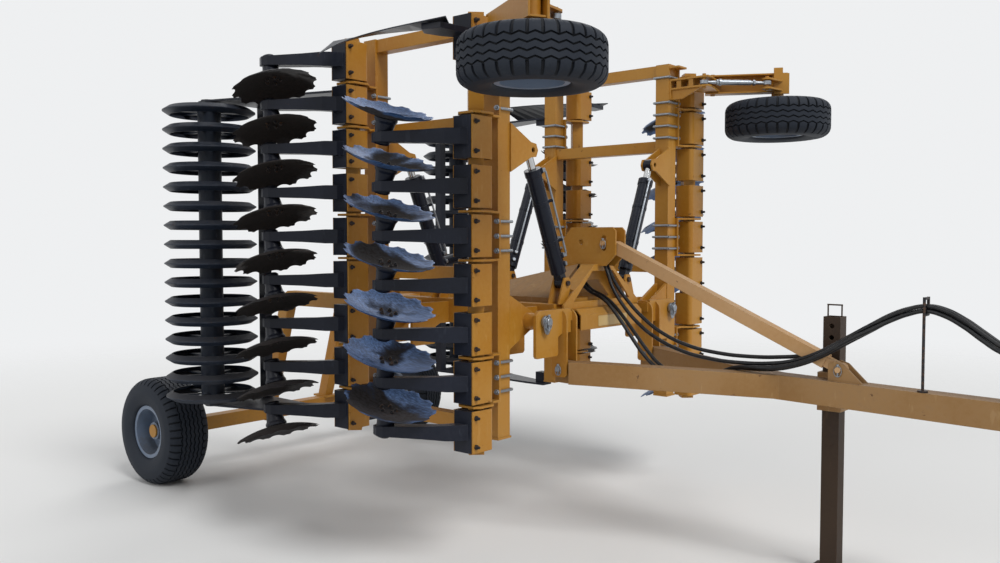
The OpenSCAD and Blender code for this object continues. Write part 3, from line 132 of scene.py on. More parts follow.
# The blank sign: its rear lower corner ahead of the row's origin, its size and corner radius
SIGN_PLACE = Vector((0.0802, -0.155, 1.238))
SIGN_SIZE = Vector((0.0016, 0.31, 0.062))
SIGN_CORNER = 0.008

HOSE_DIAMETER = 0.022
# How far to the left each hose's coupler lies, and the bend down into it, ahead and up
COUPLER_OUT = {"hose_1": 0.034, "hose_2": -0.022, "hose_3": 0.006, "hose_4": -0.05}
COUPLER_BEND = [(2.3023, 1.1928), (2.3269, 1.1735), (2.3434, 1.147), (2.35, 1.1133)]
# Centre lines of the hoses up to that bend, ahead of the row's origin
HOSE_ROUTES = {
    "hose_1": [
        (-0.109, 0.014, 1.655), (-0.055, 0.014, 1.655), (0.004, 0.012, 1.632),
        (0.046, 0.006, 1.572), (0.104, 0.0, 1.48), (0.19, 0.0, 1.38), (0.294, 0.002, 1.286),
        (0.4, 0.006, 1.216), (0.58, 0.015, 1.146), (0.76, 0.03, 1.116), (0.94, 0.042, 1.11),
        (1.11, 0.052, 1.12), (1.23, 0.057, 1.138), (1.366, 0.057, 1.186), (1.501, 0.042, 1.268),
        (1.6, 0.022, 1.33), (1.7, 0.012, 1.386), (1.775, 0.011, 1.415), (1.851, 0.012, 1.43),
        (1.93, 0.012, 1.418), (2.02, 0.014, 1.374), (2.1, 0.02, 1.318), (2.173, 0.026, 1.266),
        (2.248, 0.031, 1.2245),
    ],
    "hose_2": [
        (-0.109, -0.014, 1.655), (-0.055, -0.014, 1.655), (0.004, -0.016, 1.632),
        (0.046, -0.022, 1.572), (0.096, -0.03, 1.466), (0.175, -0.038, 1.362),
        (0.283, -0.045, 1.262), (0.39, -0.052, 1.194), (0.58, -0.058, 1.122),
        (0.76, -0.06, 1.092), (0.94, -0.06, 1.086), (1.11, -0.06, 1.098), (1.23, -0.06, 1.122),
        (1.366, -0.058, 1.178), (1.501, -0.038, 1.262), (1.6, -0.026, 1.324), (1.7, -0.014, 1.38),
        (1.775, -0.012, 1.413), (1.851, -0.011, 1.43), (1.93, -0.012, 1.416),
        (2.02, -0.013, 1.37), (2.1, -0.012, 1.312), (2.173, -0.014, 1.262),
        (2.248, -0.019, 1.2235),
    ],
    "hose_3": [
        (-0.15, 0.008, 1.5995), (-0.15, 0.008, 1.57), (-0.146, 0.006, 1.53),
        (-0.125, 0.004, 1.485), (-0.085, 0.0, 1.45), (-0.04, -0.004, 1.428),
        (0.005, -0.008, 1.412), (0.06, -0.012, 1.384), (0.104, -0.014, 1.35),
        (0.184, -0.016, 1.268), (0.268, -0.016, 1.172), (0.338, -0.016, 1.094),
        (0.404, -0.018, 1.034), (0.49, -0.02, 0.992), (0.62, -0.022, 0.978), (0.78, -0.026, 1.0),
        (0.86, -0.03, 1.03), (0.92, -0.034, 1.052), (1.0, -0.044, 1.058), (1.11, -0.05, 1.066),
        (1.23, -0.056, 1.094), (1.366, -0.058, 1.152), (1.501, -0.04, 1.236),
        (1.6, -0.014, 1.298), (1.7, 0.008, 1.36), (1.775, 0.012, 1.391), (1.851, 0.012, 1.407),
        (1.93, 0.012, 1.392), (2.02, 0.013, 1.346), (2.1, 0.008, 1.292), (2.173, 0.008, 1.246),
        (2.243, 0.007, 1.2195),
    ],
    "hose_4": [
        (-0.15, -0.03, 1.5995), (-0.15, -0.03, 1.57), (-0.146, -0.031, 1.53),
        (-0.125, -0.033, 1.485), (-0.085, -0.034, 1.448), (-0.04, -0.038, 1.424),
        (0.005, -0.046, 1.41), (0.06, -0.052, 1.384), (0.104, -0.054, 1.346),
        (0.178, -0.054, 1.262), (0.26, -0.054, 1.16), (0.328, -0.052, 1.08),
        (0.394, -0.05, 1.024), (0.48, -0.048, 0.984), (0.62, -0.048, 0.974), (0.76, -0.048, 1.0),
        (0.84, -0.052, 1.034), (0.9, -0.06, 1.056), (1.0, -0.082, 1.07), (1.11, -0.084, 1.078),
        (1.23, -0.084, 1.104), (1.366, -0.083, 1.16), (1.501, -0.066, 1.244), (1.6, -0.042, 1.3),
        (1.7, -0.02, 1.356), (1.775, -0.012, 1.389), (1.851, -0.011, 1.407), (1.93, -0.012, 1.39),
        (2.02, -0.014, 1.342), (2.1, -0.022, 1.286), (2.173, -0.034, 1.242),
        (2.243, -0.044, 1.219),
    ],
}


def linked(name, data):
    """A new object in the scene."""
    made = bpy.data.objects.new(name, data)
    bpy.context.scene.collection.objects.link(made)
    return made


def set_camera():
    """The camera of the photograph."""
    data = bpy.data.cameras.new("camera")
    data.lens = CAMERA_LENS
    data.clip_end = 200.0
    camera = linked("camera", data)
    camera.location = CAMERA_PLACE
    camera.rotation_euler = [math.radians(angle) for angle in CAMERA_TURN]
    bpy.context.scene.camera = camera


class Value:
    """A number, colour or vector inside a material. Arithmetic on numbers adds Math nodes."""

    def __init__(self, finish, socket):
        self.finish = finish
        self.socket = socket

    def maths(self, operation, *terms):
        return self.finish.node("ShaderNodeMath", {"operation": operation}, dict(enumerate(terms)))

    def __add__(self, other):
        return self.maths("ADD", self, other)

    def __radd__(self, other):
        return self.maths("ADD", other, self)

    def __sub__(self, other):
        return self.maths("SUBTRACT", self, other)

    def __rsub__(self, other):
        return self.maths("SUBTRACT", other, self)

    def __mul__(self, other):
        return self.maths("MULTIPLY", self, other)

    def __rmul__(self, other):
        return self.maths("MULTIPLY", other, self)

    def at_least(self, other):
        return self.maths("MAXIMUM", self, other)

    def at_most(self, other):
        return self.maths("MINIMUM", self, other)


class Finish:
    """One node material. Every node comes from node(), and join() ends it."""

    def __init__(self, name):
        self.material = bpy.data.materials.new(name)
        self.material.use_nodes = True
        self.tree = self.material.node_tree
        self.tree.nodes.clear()
        self.place = self.node("ShaderNodeTexCoord", out="Object")
        self.facing = self.node("ShaderNodeTexCoord", out="Normal")

    def node(self, kind, settings=None, sockets=None, out=0):
        made = self.tree.nodes.new(kind)
        for name, value in (settings or {}).items():
            setattr(made, name, value)
        for key, value in (sockets or {}).items():
            if isinstance(value, Value):
                self.tree.links.new(value.socket, made.inputs[key])
            else:
                made.inputs[key].default_value = value
        return Value(self, made.outputs[out])

    def part_of(self, vector, axis):
        """One component of a vector: X, Y or Z."""
        return self.node("ShaderNodeSeparateXYZ", None, {0: vector}, axis)

    def noise(self, scale, detail=3.0, rough=0.55, stretch=None, warp=0.0):
        """Clouds from 0 to 1, with this many to a metre."""
        place = self.place
        if stretch:
            place = self.node("ShaderNodeMapping", None, {"Vector": place, "Scale": stretch})
        return self.node("ShaderNodeTexNoise", None, {
            "Vector": place, "Scale": scale, "Detail": detail, "Roughness": rough, "Distortion": warp})

    def rise(self, value, low, high):
        """0 below low, 1 above high, and a smooth rise between them."""
        return self.node("ShaderNodeMapRange", {"interpolation_type": "SMOOTHSTEP"}, {
            "Value": value, "From Min": low, "From Max": high})

    def blend(self, share, first, second):
        """A colour that goes from first to second as share goes from 0 to 1."""
        return self.node("ShaderNodeMix", {"data_type": "RGBA"}, {0: share, 6: first, 7: second}, 2)

    def attribute(self, name):
        """A number that the mesh carries."""
        return self.node("ShaderNodeAttribute", {"attribute_name": name}, None, "Fac")

    def rounded(self, radius):
        """The surface's direction with its edges rounded."""
        return self.node("ShaderNodeBevel", {"samples": 3}, {"Radius": radius})

    def edges(self, soft):
        """1 along the edges that the rounded direction softens, 0 on flat faces."""
        true = self.node("ShaderNodeNewGeometry", None, None, "True Normal")
        same = self.node("ShaderNodeVectorMath", {"operation": "DOT_PRODUCT"}, {0: soft, 1: true}, "Value")
        return self.rise(1.0 - same, 0.01, 0.12)

    def bump(self, height, strength, distance, normal=None):
        sockets = {"Height": height, "Strength": strength, "Distance": distance}
        if normal:
            sockets["Normal"] = normal
        return self.node("ShaderNodeBump", None, sockets)

    def join(self, color, roughness, metallic=0.0, normal=None, gloss=0.5):
        """Ends the material in one shader; gloss is how much a bare surface reflects."""
        sockets = {"Base Color": color, "Roughness": roughness, "Metallic": metallic,
                   "Specular IOR Level": gloss}
        if normal:
            sockets["Normal"] = normal
        surface = self.node("ShaderNodeBsdfPrincipled", None, sockets)
        self.node_output(surface)
        return self.material

    def node_output(self, surface):
        end = self.tree.nodes.new("ShaderNodeOutputMaterial")
        self.tree.links.new(surface.socket, end.inputs["Surface"])


def tone(red, green, blue):
    """A colour written in 0 to 255 as it looks, turned into the renderer's own."""
    def linear(part):
        share = part / 255.0
        return share / 12.92 if share < 0.04045 else ((share + 0.055) / 1.055) ** 2.4
    return (linear(red), linear(green), linear(blue), 1.0)


def worn_paint(name, fresh, faded, chip, rust, dust, dustiness=0.5, wear=0.5, shine=0.42, gloss=0.5):
    """Paint that fades, chips at its edges, rusts in spots and holds dust."""
    f = Finish(name)
    soft = f.rounded(0.004)
    edge = f.edges(soft)
    cloud = f.noise(1.7, 2.0, 0.5)
    grain = f.noise(38.0, 4.0, 0.65)
    fine = f.noise(210.0, 2.0, 0.6)
    height = f.part_of(f.place, "Z")
    upward = f.part_of(f.facing, "Z").at_least(0.0)
    color = f.blend(f.rise(cloud + 0.35 * grain, 0.45, 0.85), fresh, faded)
    spots = f.rise(f.noise(17.0, 5.0, 0.7, warp=0.4) + 0.12 * edge, 0.66, 0.71)
    scuffs = f.rise(f.noise(26.0, 3.0, 0.6, stretch=(1.0, 1.0, 0.25)), 0.62, 0.72)
    color = f.blend(0.35 * scuffs * wear, color, chip)
    chipped = edge * f.rise(grain + 0.25 * fine, 0.52 - 0.16 * wear, 0.66)
    color = f.blend(chipped * wear, color, chip)
    color = f.blend((spots * wear).at_most(0.85), color, rust)
    low = 1.0 - f.rise(height, 0.3, 1.5)
    film = f.rise(cloud * 0.6 + grain * 0.5 + upward * 0.35 + low * 0.18, 0.62, 1.05)
    color = f.blend(film * dustiness, color, dust)
    rough = shine + 0.4 * film * dustiness + 0.2 * spots
    normal = f.bump(fine * 0.4 + grain * 0.6 - 0.7 * spots, 0.25, 0.0012, soft)
    return f.join(color, rough, 0.0, normal, gloss)


def frame_paint():
    """The frame's deep yellow, faded and scuffed."""
    return worn_paint("frame_paint", tone(170, 113, 26), tone(180, 129, 50), tone(202, 162, 94),
                      tone(78, 44, 26), tone(118, 90, 58),
                      dustiness=0.38, wear=0.6, shine=0.4, gloss=0.35)


def drawbar_paint():
    """The frame's yellow made darker, for dust and as painted shade on the drawbar and its cover."""
    return worn_paint("drawbar_paint", tone(142, 104, 56), tone(156, 120, 76), tone(184, 152, 108),
                      tone(84, 52, 34), tone(112, 92, 72),
                      dustiness=0.6, wear=0.85, shine=0.5, gloss=0.35)


def sunlit_stay_paint():
    """The stay's paint: the frame's yellow made paler, as painted light for the stay's sunlit top."""
    return worn_paint("sunlit_stay_paint", tone(186, 142, 90), tone(200, 160, 114), tone(218, 190, 150),
                      tone(98, 62, 40), tone(136, 112, 88),
                      dustiness=0.45, wear=0.7, shine=0.5, gloss=0.35)


def leg_paint():
    """Old paint of the parking leg, gone mostly to rust."""
    return worn_paint("leg_paint", tone(48, 36, 27), tone(62, 47, 34), tone(84, 64, 46),
                      tone(50, 30, 22), tone(58, 48, 40),
                      dustiness=0.5, wear=1.0, shine=0.6, gloss=0.25)


def black_paint():
    """Blue black paint of the arms and shields."""
    return worn_paint("black_paint", tone(20, 23, 32), tone(28, 32, 44), tone(74, 80, 92),
                      tone(58, 42, 34), tone(58, 54, 52),
                      dustiness=0.3, wear=0.45, shine=0.34, gloss=0.2)


def roller_paint():
    """Ring steel that rolls in soil: thin dark paint, rubbed bare, with dried earth."""
    return worn_paint("roller_paint", tone(22, 29, 40), tone(36, 44, 58), tone(86, 92, 102),
                      tone(66, 48, 36), tone(62, 58, 54),
                      dustiness=0.5, wear=0.7, shine=0.42, gloss=0.25)


def cylinder_paint():
    """Gloss black of the cylinder barrels."""
    return worn_paint("cylinder_paint", tone(13, 17, 28), tone(20, 25, 38), tone(76, 84, 98),
                      tone(50, 40, 36), tone(52, 52, 54),
                      dustiness=0.2, wear=0.3, shine=0.26, gloss=0.25)


def rim_silver():
    """Silver of the wheel rims, darkened to a blue grey as painted shade."""
    return worn_paint("rim_silver", tone(98, 114, 138), tone(118, 132, 152), tone(96, 96, 96),
                      tone(80, 56, 42), tone(76, 72, 66),
                      dustiness=0.6, wear=0.5, shine=0.36)


def sign_paint():
    """The bare face of the sign on the front cross beam."""
    return worn_paint("sign_paint", tone(196, 158, 84), tone(204, 172, 110), tone(170, 140, 92),
                      tone(90, 60, 40), tone(132, 110, 84),
                      dustiness=0.5, wear=0.5, shine=0.3)


def soil_polished(name, bright, dark, earth, share, shine):
    """A disc's steel: polished where soil runs, with dried earth and rust on the rest."""
    f = Finish(name)
    rim = f.attribute("rim")
    cloud = f.noise(2.7, 2.5, 0.48, warp=0.6)
    grain = f.noise(52.0, 4.0, 0.7)
    pits = f.noise(24.0, 3.0, 0.6, warp=0.5)
    scratch = f.noise(120.0, 2.0, 0.5, stretch=(0.1, 1.0, 1.0))
    polish = f.rise(0.25 * rim + cloud + 0.12 * grain, share, share + 0.12)
    polish = polish * (1.0 - f.rise(pits, 0.7, 0.77))
    steel = f.blend(f.rise(0.6 * scratch + 0.5 * cloud, 0.4, 0.72), bright, dark)
    crust = f.blend(f.rise(grain, 0.4, 0.65), earth, tone(34, 28, 27))
    color = f.blend(polish, crust, steel)
    rough = 0.9 - polish * (0.52 - 0.14 * scratch)
    normal = f.bump(grain * (1.0 - polish) + 0.05 * scratch, 0.45, 0.003)
    return f.join(color, rough, polish * shine, normal, 0.25)


def bright_steel():
    """Zinc plate that has gone dull, with brown stains."""
    f = Finish("bright_steel")
    soft = f.rounded(0.0015)
    cloud = f.noise(30.0, 3.0, 0.6)
    stain = f.rise(f.noise(70.0, 4.0, 0.65), 0.55, 0.7)
    color = f.blend(cloud, tone(126, 134, 144), tone(164, 168, 172))
    color = f.blend(0.55 * stain, color, tone(96, 74, 56))
    return f.join(color, 0.36 + 0.3 * stain, 0.8 - 0.5 * stain, soft)


def dark_steel():
    """Bare bolts gone brown and black."""
    f = Finish("dark_steel")
    cloud = f.noise(60.0, 3.0, 0.6)
    color = f.blend(f.rise(cloud, 0.45, 0.68), tone(34, 34, 38), tone(80, 58, 42))
    return f.join(color, 0.62, 0.4, f.rounded(0.0015))


def chrome_rod():
    """Polished rods of the cylinders."""
    f = Finish("chrome_rod")
    haze = f.noise(24.0, 3.0, 0.6)
    color = f.blend(haze, tone(206, 208, 210), tone(186, 186, 184))
    return f.join(color, 0.1 + 0.2 * f.rise(haze, 0.5, 0.8), 1.0)


def tyre_rubber():
    """Tread and sidewall rubber, tinted blue as a painted sky reflection; the attribute groove is 1 at the
    bottom of the tread, where painted shade darkens it.
    """
    f = Finish("tyre_rubber")
    groove = f.attribute("groove")
    cloud = f.noise(6.0, 4.0, 0.6)
    grain = f.noise(85.0, 3.0, 0.7)
    film = f.rise(cloud * 0.7 + grain * 0.4, 0.45, 0.85)
    # Painted sky reflection: the rubber and its dust are both tinted blue
    color = f.blend(film * 0.6, tone(27, 33, 43), tone(58, 62, 68))
    # Painted shade: the floors of the grooves are darkened
    color = f.blend(groove * 0.75, color, tone(14, 15, 18))
    return f.join(color, 0.62 + 0.25 * film, 0.0, f.bump(grain, 0.25, 0.0015), 0.25)


def plain_rubber():
    """Rubber cords in the clamps."""
    f = Finish("plain_rubber")
    grain = f.noise(60.0, 3.0, 0.6)
    color = f.blend(f.rise(grain, 0.4, 0.8), tone(26, 26, 28), tone(58, 56, 54))
    return f.join(color, 0.6 + 0.2 * grain, 0.0, f.bump(grain, 0.2, 0.001), 0.25)


def hose_rubber():
    """A hose's cover: smooth black rubber with a film of dust."""
    f = Finish("hose_rubber")
    grain = f.noise(30.0, 4.0, 0.6)
    film = f.rise(grain, 0.5, 0.75)
    color = f.blend(film * 0.6, tone(20, 21, 24), tone(62, 60, 58))
    return f.join(color, 0.34 + 0.35 * film, 0.0, f.bump(f.noise(400.0, 1.0), 0.15, 0.0006), 0.3)


def floor_finish():
    """A pale floor that keeps the shadow and ends in the white beyond it."""
    f = Finish("floor")
    bare = f.node("ShaderNodeBsdfDiffuse", None, {"Color": (0.78, 0.775, 0.76, 1.0)})
    clear = f.node("ShaderNodeBsdfTransparent")
    reach = f.node("ShaderNodeVectorMath", {"operation": "LENGTH"}, {0: f.place}, "Value")
    f.node_output(f.node("ShaderNodeMixShader", None, {
        0: f.rise(reach, 5.0, 13.0), 1: bare, 2: clear}))
    return f.material


def set_stage():
    """Floor, lamps and sky."""
    half = 16.0
    floor_mesh = bpy.data.meshes.new("floor")
    floor_mesh.from_pydata([(-half, -half, 0.0), (half, -half, 0.0), (half, half, 0.0), (-half, half, 0.0)],
                           [], [(0, 1, 2, 3)])
    floor_mesh.materials.append(floor_finish())
    floor = linked("floor", floor_mesh)
    # Lamp: name, strength, softness in degrees, and the point it shines from
    for name, strength, softness, source in [
        ("key", 1.75, 24.0, (7.0, -1.5, 7.5)),
        ("fill", 0.55, 40.0, (-1.5, -8.0, 4.0)),
        ("rim", 0.6, 30.0, (-4.0, 7.0, 6.0)),
    ]:
        data = bpy.data.lights.new(name, "SUN")
        data.energy = strength
        data.angle = math.radians(softness)
        linked(name, data).rotation_euler = Vector(source).to_track_quat("Z", "Y").to_euler()
    world = bpy.data.worlds.new("sky")
    world.use_nodes = True
    tree = world.node_tree
    tree.nodes.clear()
    rays = tree.nodes.new("ShaderNodeLightPath")
    seen = tree.nodes.new("ShaderNodeMath")
    seen.operation = "MAXIMUM"
    tree.links.new(rays.outputs["Is Camera Ray"], seen.inputs[0])
    tree.links.new(rays.outputs["Is Transmission Ray"], seen.inputs[1])
    glossy = tree.nodes.new("ShaderNodeMath")
    glossy.operation = "MAXIMUM"
    tree.links.new(seen.outputs[0], glossy.inputs[0])
    tree.links.new(rays.outputs["Is Glossy Ray"], glossy.inputs[1])
    lighting = tree.nodes.new("ShaderNodeBackground")
    lighting.inputs["Color"].default_value = (0.93, 0.96, 1.0, 1.0)
    lighting.inputs["Strength"].default_value = 0.42
    shown = tree.nodes.new("ShaderNodeBackground")
    shown.inputs["Color"].default_value = (0.86, 0.87, 0.88, 1.0)
    choice = tree.nodes.new("ShaderNodeMixShader")
    tree.links.new(glossy.outputs[0], choice.inputs[0])
    tree.links.new(lighting.outputs[0], choice.inputs[1])
    tree.links.new(shown.outputs[0], choice.inputs[2])
    end = tree.nodes.new("ShaderNodeOutputWorld")
    tree.links.new(choice.outputs[0], end.inputs["Surface"])
    bpy.context.scene.world = world
    bpy.context.scene.view_settings.view_transform = "Standard"


def lay_hose(name, finish):
    """One hose on its smooth centre line, in place of its plain tube."""
    bend = [(ahead, COUPLER_OUT[name], up) for ahead, up in COUPLER_BEND]
    route = [ROW + Vector(point) for point in HOSE_ROUTES[name] + bend]
    curve = bpy.data.curves.new(name + "_rubber", "CURVE")
    curve.dimensions = "3D"
    curve.bevel_depth = HOSE_DIAMETER / 2
    curve.bevel_resolution = 3
    curve.resolution_u = 6
    curve.use_fill_caps = True
    line = curve.splines.new("BEZIER")
    line.bezier_points.add(len(route) - 1)
    for knot, point in zip(line.bezier_points, route):
        knot.co = point
        knot.handle_left_type = "AUTO"
        knot.handle_right_type = "AUTO"
    curve.materials.append(finish)
    hose = linked(name + "_rubber", curve)
    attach(hose, "frame")
    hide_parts(name)


set_camera()
hose_finish = hose_rubber()
for hose_name in HOSE_ROUTES:
    lay_hose(hose_name, hose_finish)
set_stage()


def shade_smooth(mesh, angle):
    """Smooth shading, but for edges sharper than the angle given in degrees."""
    for face in mesh.polygons:
        face.use_smooth = True
    mesh.set_sharp_from_angle(angle=math.radians(angle))


def to_mesh(name, made, angle=35.0):
    """A finished mesh from a bmesh, shaded smooth up to an angle."""
    mesh = bpy.data.meshes.new(name)
    made.to_mesh(mesh)
    made.free()
    shade_smooth(mesh, angle)
    return mesh


def fit_piece(name, mesh, finishes, body, replaces=()):
    """Puts a finished mesh on the machine: its finishes, body and what it stands for."""
    for finish in finishes:
        mesh.materials.append(finish)
    made = linked(name, mesh)
    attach(made, body)
    if replaces:
        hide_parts(*replaces)
    return made


def put(target, source, matrix):
    """Adds a bmesh to another at a place; a mirrored place keeps its faces outwards."""
    mesh = bpy.data.meshes.new("part")
    source.to_mesh(mesh)
    mesh.transform(matrix)
    if matrix.determinant() < 0:
        mesh.flip_normals()
    target.from_mesh(mesh)
    bpy.data.meshes.remove(mesh)


def to_wing(side):
    """From a wing's own drawing, on the left, to the side it is on."""
    return Matrix.Translation(ROW) @ Matrix.Diagonal((1.0, side, 1.0, 1.0))


def station(row, number):
    """Place of a clamp in a wing's own drawing."""
    shift = Vector((-row * ROW_GAP, 0.0, STATION_LOW + number * STATION_PITCH))
    return Matrix.Translation(DISC_BEAM + shift)


def discs_of(side):
    """Row, station and way of the hollow of every disc on a wing."""
    return [(row, number, up) for wing, row, first, last, up in ROWS if wing == side
            for number in range(first, last + 1)]


class Tree:
    """A Geometry Nodes tree with named inputs. It takes one geometry and gives one."""

    def __init__(self, name):
        self.group = bpy.data.node_groups.new(name, "GeometryNodeTree")
        self.inputs = {}
        self.add_input("Start", "NodeSocketGeometry")
        self.group.interface.new_socket("Result", in_out="OUTPUT", socket_type="NodeSocketGeometry")
        self.source = self.group.nodes.new("NodeGroupInput")
        self.end = self.group.nodes.new("NodeGroupOutput")
        self.start = self.source.outputs["Start"]

    def add_input(self, name, kind="NodeSocketFloat"):
        made = self.group.interface.new_socket(name, in_out="INPUT", socket_type=kind)
        self.inputs[name] = made.identifier

    def size(self, name):
        """Adds a named input for a number and gives its socket."""
        self.add_input(name)
        return self.source.outputs[name]

    def node(self, kind, settings=None, sockets=None, out=0):
        made = self.group.nodes.new(kind)
        for name, value in (settings or {}).items():
            setattr(made, name, value)
        for key, value in (sockets or {}).items():
            if isinstance(value, bpy.types.NodeSocket):
                self.group.links.new(value, made.inputs[key])
            else:
                made.inputs[key].default_value = value
        return made.outputs[out]

    def maths(self, operation, first, second):
        return self.node("ShaderNodeMath", {"operation": operation}, {0: first, 1: second})

    def join(self, parts):
        made = self.group.nodes.new("GeometryNodeJoinGeometry")
        for part in parts:
            self.group.links.new(part, made.inputs[0])
        return made.outputs[0]

    def close(self, geometry, finish):
        """Ends the tree: real geometry with its finish."""
        real = self.node("GeometryNodeRealizeInstances", None, {0: geometry})
        dressed = self.node("GeometryNodeSetMaterial", None, {"Geometry": real, "Material": finish})
        self.group.links.new(dressed, self.end.inputs[0])

    def run(self, mesh, sizes):
        """The mesh that the tree makes of a mesh, with its sizes set by name."""
        holder = linked("start", mesh)
        modifier = holder.modifiers.new("tree", "NODES")
        modifier.node_group = self.group
        for name, value in sizes.items():
            modifier[self.inputs[name]] = value
        found = holder.evaluated_get(bpy.context.evaluated_depsgraph_get())
        made = bpy.data.meshes.new_from_object(found)
        holder.modifiers.remove(modifier)
        bpy.data.objects.remove(holder)
        bpy.data.meshes.remove(mesh)
        return made


def rod_nodes(tree, sides, radius, low, length):
    """Nodes of a closed rod along Z, from a height up."""
    rod = tree.node("GeometryNodeMeshCylinder", None, {
        "Vertices": sides, "Radius": radius, "Depth": length})
    lift = tree.maths("ADD", low, tree.maths("MULTIPLY", length, 0.5))
    place = tree.node("ShaderNodeCombineXYZ", None, {"Z": lift})
    return tree.node("GeometryNodeTransform", None, {"Geometry": rod, "Translation": place})


def bolt_tree(finish):
    """A washer, a nut and a thread's end on every point, along the point's own direction."""
    tree = Tree("bolt_ends")
    nut = tree.size("Nut radius")
    nut_height = tree.size("Nut height")
    washer = tree.size("Washer radius")
    washer_height = tree.size("Washer height")
    thread = tree.size("Thread radius")
    reach = tree.size("Thread reach")
    top = tree.maths("ADD", washer_height, nut_height)
    bolt = tree.join([
        rod_nodes(tree, 12, washer, 0.0, washer_height),
        rod_nodes(tree, 6, nut, washer_height, nut_height),
        rod_nodes(tree, 8, thread, top, reach),
        rod_nodes(tree, 8, tree.maths("MULTIPLY", thread, 0.72), tree.maths("ADD", top, reach), 0.0015),
    ])
    away = tree.node("GeometryNodeInputNamedAttribute", {"data_type": "FLOAT_VECTOR"}, {"Name": "away"})
    turn = tree.node("FunctionNodeAlignRotationToVector", {"axis": "Z"}, {"Vector": away})
    # A number's greatest value is input 3 of this node, and the number itself is output 1
    chance = tree.node("FunctionNodeRandomValue", {"data_type": "FLOAT"}, {3: math.tau, "Seed": 7}, 1)
    spin = tree.node("FunctionNodeAxisAngleToRotation", None, {"Axis": (0.0, 0.0, 1.0), "Angle": chance})
    turned = tree.node("FunctionNodeRotateRotation", {"rotation_space": "LOCAL"}, {0: turn, 1: spin})
    placed = tree.node("GeometryNodeInstanceOnPoints", None, {
        "Points": tree.start, "Instance": bolt, "Rotation": turned})
    tree.close(placed, finish)
    return tree


def pipe_tree(finish):
    """A round pipe along every line, its corners bent."""
    tree = Tree("pipes")
    radius = tree.size("Pipe radius")
    bend = tree.size("Bend radius")
    line = tree.node("GeometryNodeMeshToCurve", None, {"Mesh": tree.start})
    bent = tree.node("GeometryNodeFilletCurve", {"mode": "POLY"}, {
        "Curve": line, "Radius": bend, "Count": 4})
    ring = tree.node("GeometryNodeCurvePrimitiveCircle", None, {"Resolution": 10, "Radius": radius})
    pipe = tree.node("GeometryNodeCurveToMesh", None, {
        "Curve": bent, "Profile Curve": ring, "Fill Caps": True})
    tree.close(pipe, finish)
    return tree


def spots_mesh(spots):
    """Points for a tree, each with the direction that it points away in."""
    mesh = bpy.data.meshes.new("spots")
    mesh.from_pydata([place for place, away in spots], [], [])
    marks = mesh.attributes.new("away", "FLOAT_VECTOR", "POINT")
    for mark, (place, away) in zip(marks.data, spots):
        mark.vector = away
    return mesh


def lines_mesh(lines):
    """Lines for a tree, each a list of points."""
    mesh = bpy.data.meshes.new("lines")
    corners = []
    steps = []
    for line in lines:
        first = len(corners)
        corners += line
        steps += [(first + index, first + index + 1) for index in range(len(line) - 1)]
    mesh.from_pydata(corners, steps, [])
    return mesh


def bolt_sizes(nut, thread, reach, washer):
    """Sizes of one kind of bolt: its nut's radius, its thread's and how far that stands out.

    washer is the washer's radius as a share of the nut's.
    """
    return {"Nut radius": nut, "Nut height": nut * 0.85, "Washer radius": nut * washer,
            "Washer height": 0.0025, "Thread radius": thread, "Thread reach": reach}


def ring_surface(rows, columns, point, wrap, mark_name=None):
    """A closed surface of rings: point(row, column) gives each corner's place and mark.

    The last ring joins the first if it wraps. If not, a face closes each end.
    """
    made = bmesh.new()
    mark = made.verts.layers.float.new(mark_name) if mark_name else None
    grid = []
    for row in range(rows):
        ring = []
        for column in range(columns):
            place, value = point(row, column)
            corner = made.verts.new(place)
            if mark:
                corner[mark] = value
            ring.append(corner)
        grid.append(ring)
    for here, there in zip(grid, grid[1:] + grid[:1] if wrap else grid[1:]):
        for column in range(columns):
            after = (column + 1) % columns
            made.faces.new((here[column], here[after], there[after], there[column]))
    if not wrap:
        made.faces.new(grid[0][::-1])
        made.faces.new(grid[-1])
    bmesh.ops.recalc_face_normals(made, faces=made.faces)
    return made


def worn_disc(chance):
    """One dished disc, its edge notched, worn and ground sharp."""
    columns = NOTCHES * 12
    turn = chance.uniform(0.0, math.tau)
    # Uneven wear: waves round the edge, each with its start, size and count, and each notch's depth
    waves = [(chance.uniform(0.0, math.tau), chance.uniform(0.001, 0.004), count) for count in (2, 3, 5)]
    notch_wear = [chance.uniform(0.75, 1.1) for notch in range(NOTCHES)]
    # A notch's share of its pitch, how far the middle of a lobe is worn back, the edge's land,
    # and the radius of the flat in the middle
    notch_share = 0.62
    lobe_wear = 0.004
    land = 0.0015
    flat = 0.02
    # Rings, as shares of the radius. Their plain circles turn into the edge's outline on the way out.
    shares = [0.0, 0.3, 0.5, 0.66, 0.78, 0.87, 0.94, 0.985]
    plain_share = 0.88

    def edge_radius(angle):
        place = (angle - turn) / math.tau * NOTCHES
        notch = int(math.floor(place)) % NOTCHES
        across = abs(place % 1.0 - 0.5) * 2.0
        dip = max(0.0, 1.0 - (across / notch_share) ** 2) ** 0.7
        wear = sum(size * (1.0 + math.sin(count * angle + start)) for start, size, count in waves) / 2
        lobe = lobe_wear * max(0.0, across - 0.8) / 0.2
        return DISC_RADIUS - wear - NOTCH_DEPTH * notch_wear[notch] * dip - lobe

    def dish(radius, inner):
        depth = DISH_RADIUS - DISC_THICK if inner else DISH_RADIUS
        return DISH_RADIUS - math.sqrt(depth * depth - radius * radius)

    # Rings from the middle of the hollow out to the edge, then back along the outer side
    steps = [(share, True) for share in shares] + [(1.0, None)]
    steps += [(share, False) for share in reversed(shares[:-1])]

    def corner(row, column):
        share, inner = steps[row]
        angle = math.tau * column / columns
        rim = edge_radius(angle)
        plain = share * DISC_RADIUS * plain_share
        radius = plain + (rim * share - plain) * share ** 3
        if share == 0.0:
            radius = flat
        height = dish(radius, True) - land if inner is None else dish(radius, inner)
        place = Vector((radius * math.cos(angle), radius * math.sin(angle), height))
        return place, min(1.0, radius / DISC_RADIUS)

    return ring_surface(len(steps), columns, corner, wrap=False, mark_name="rim")


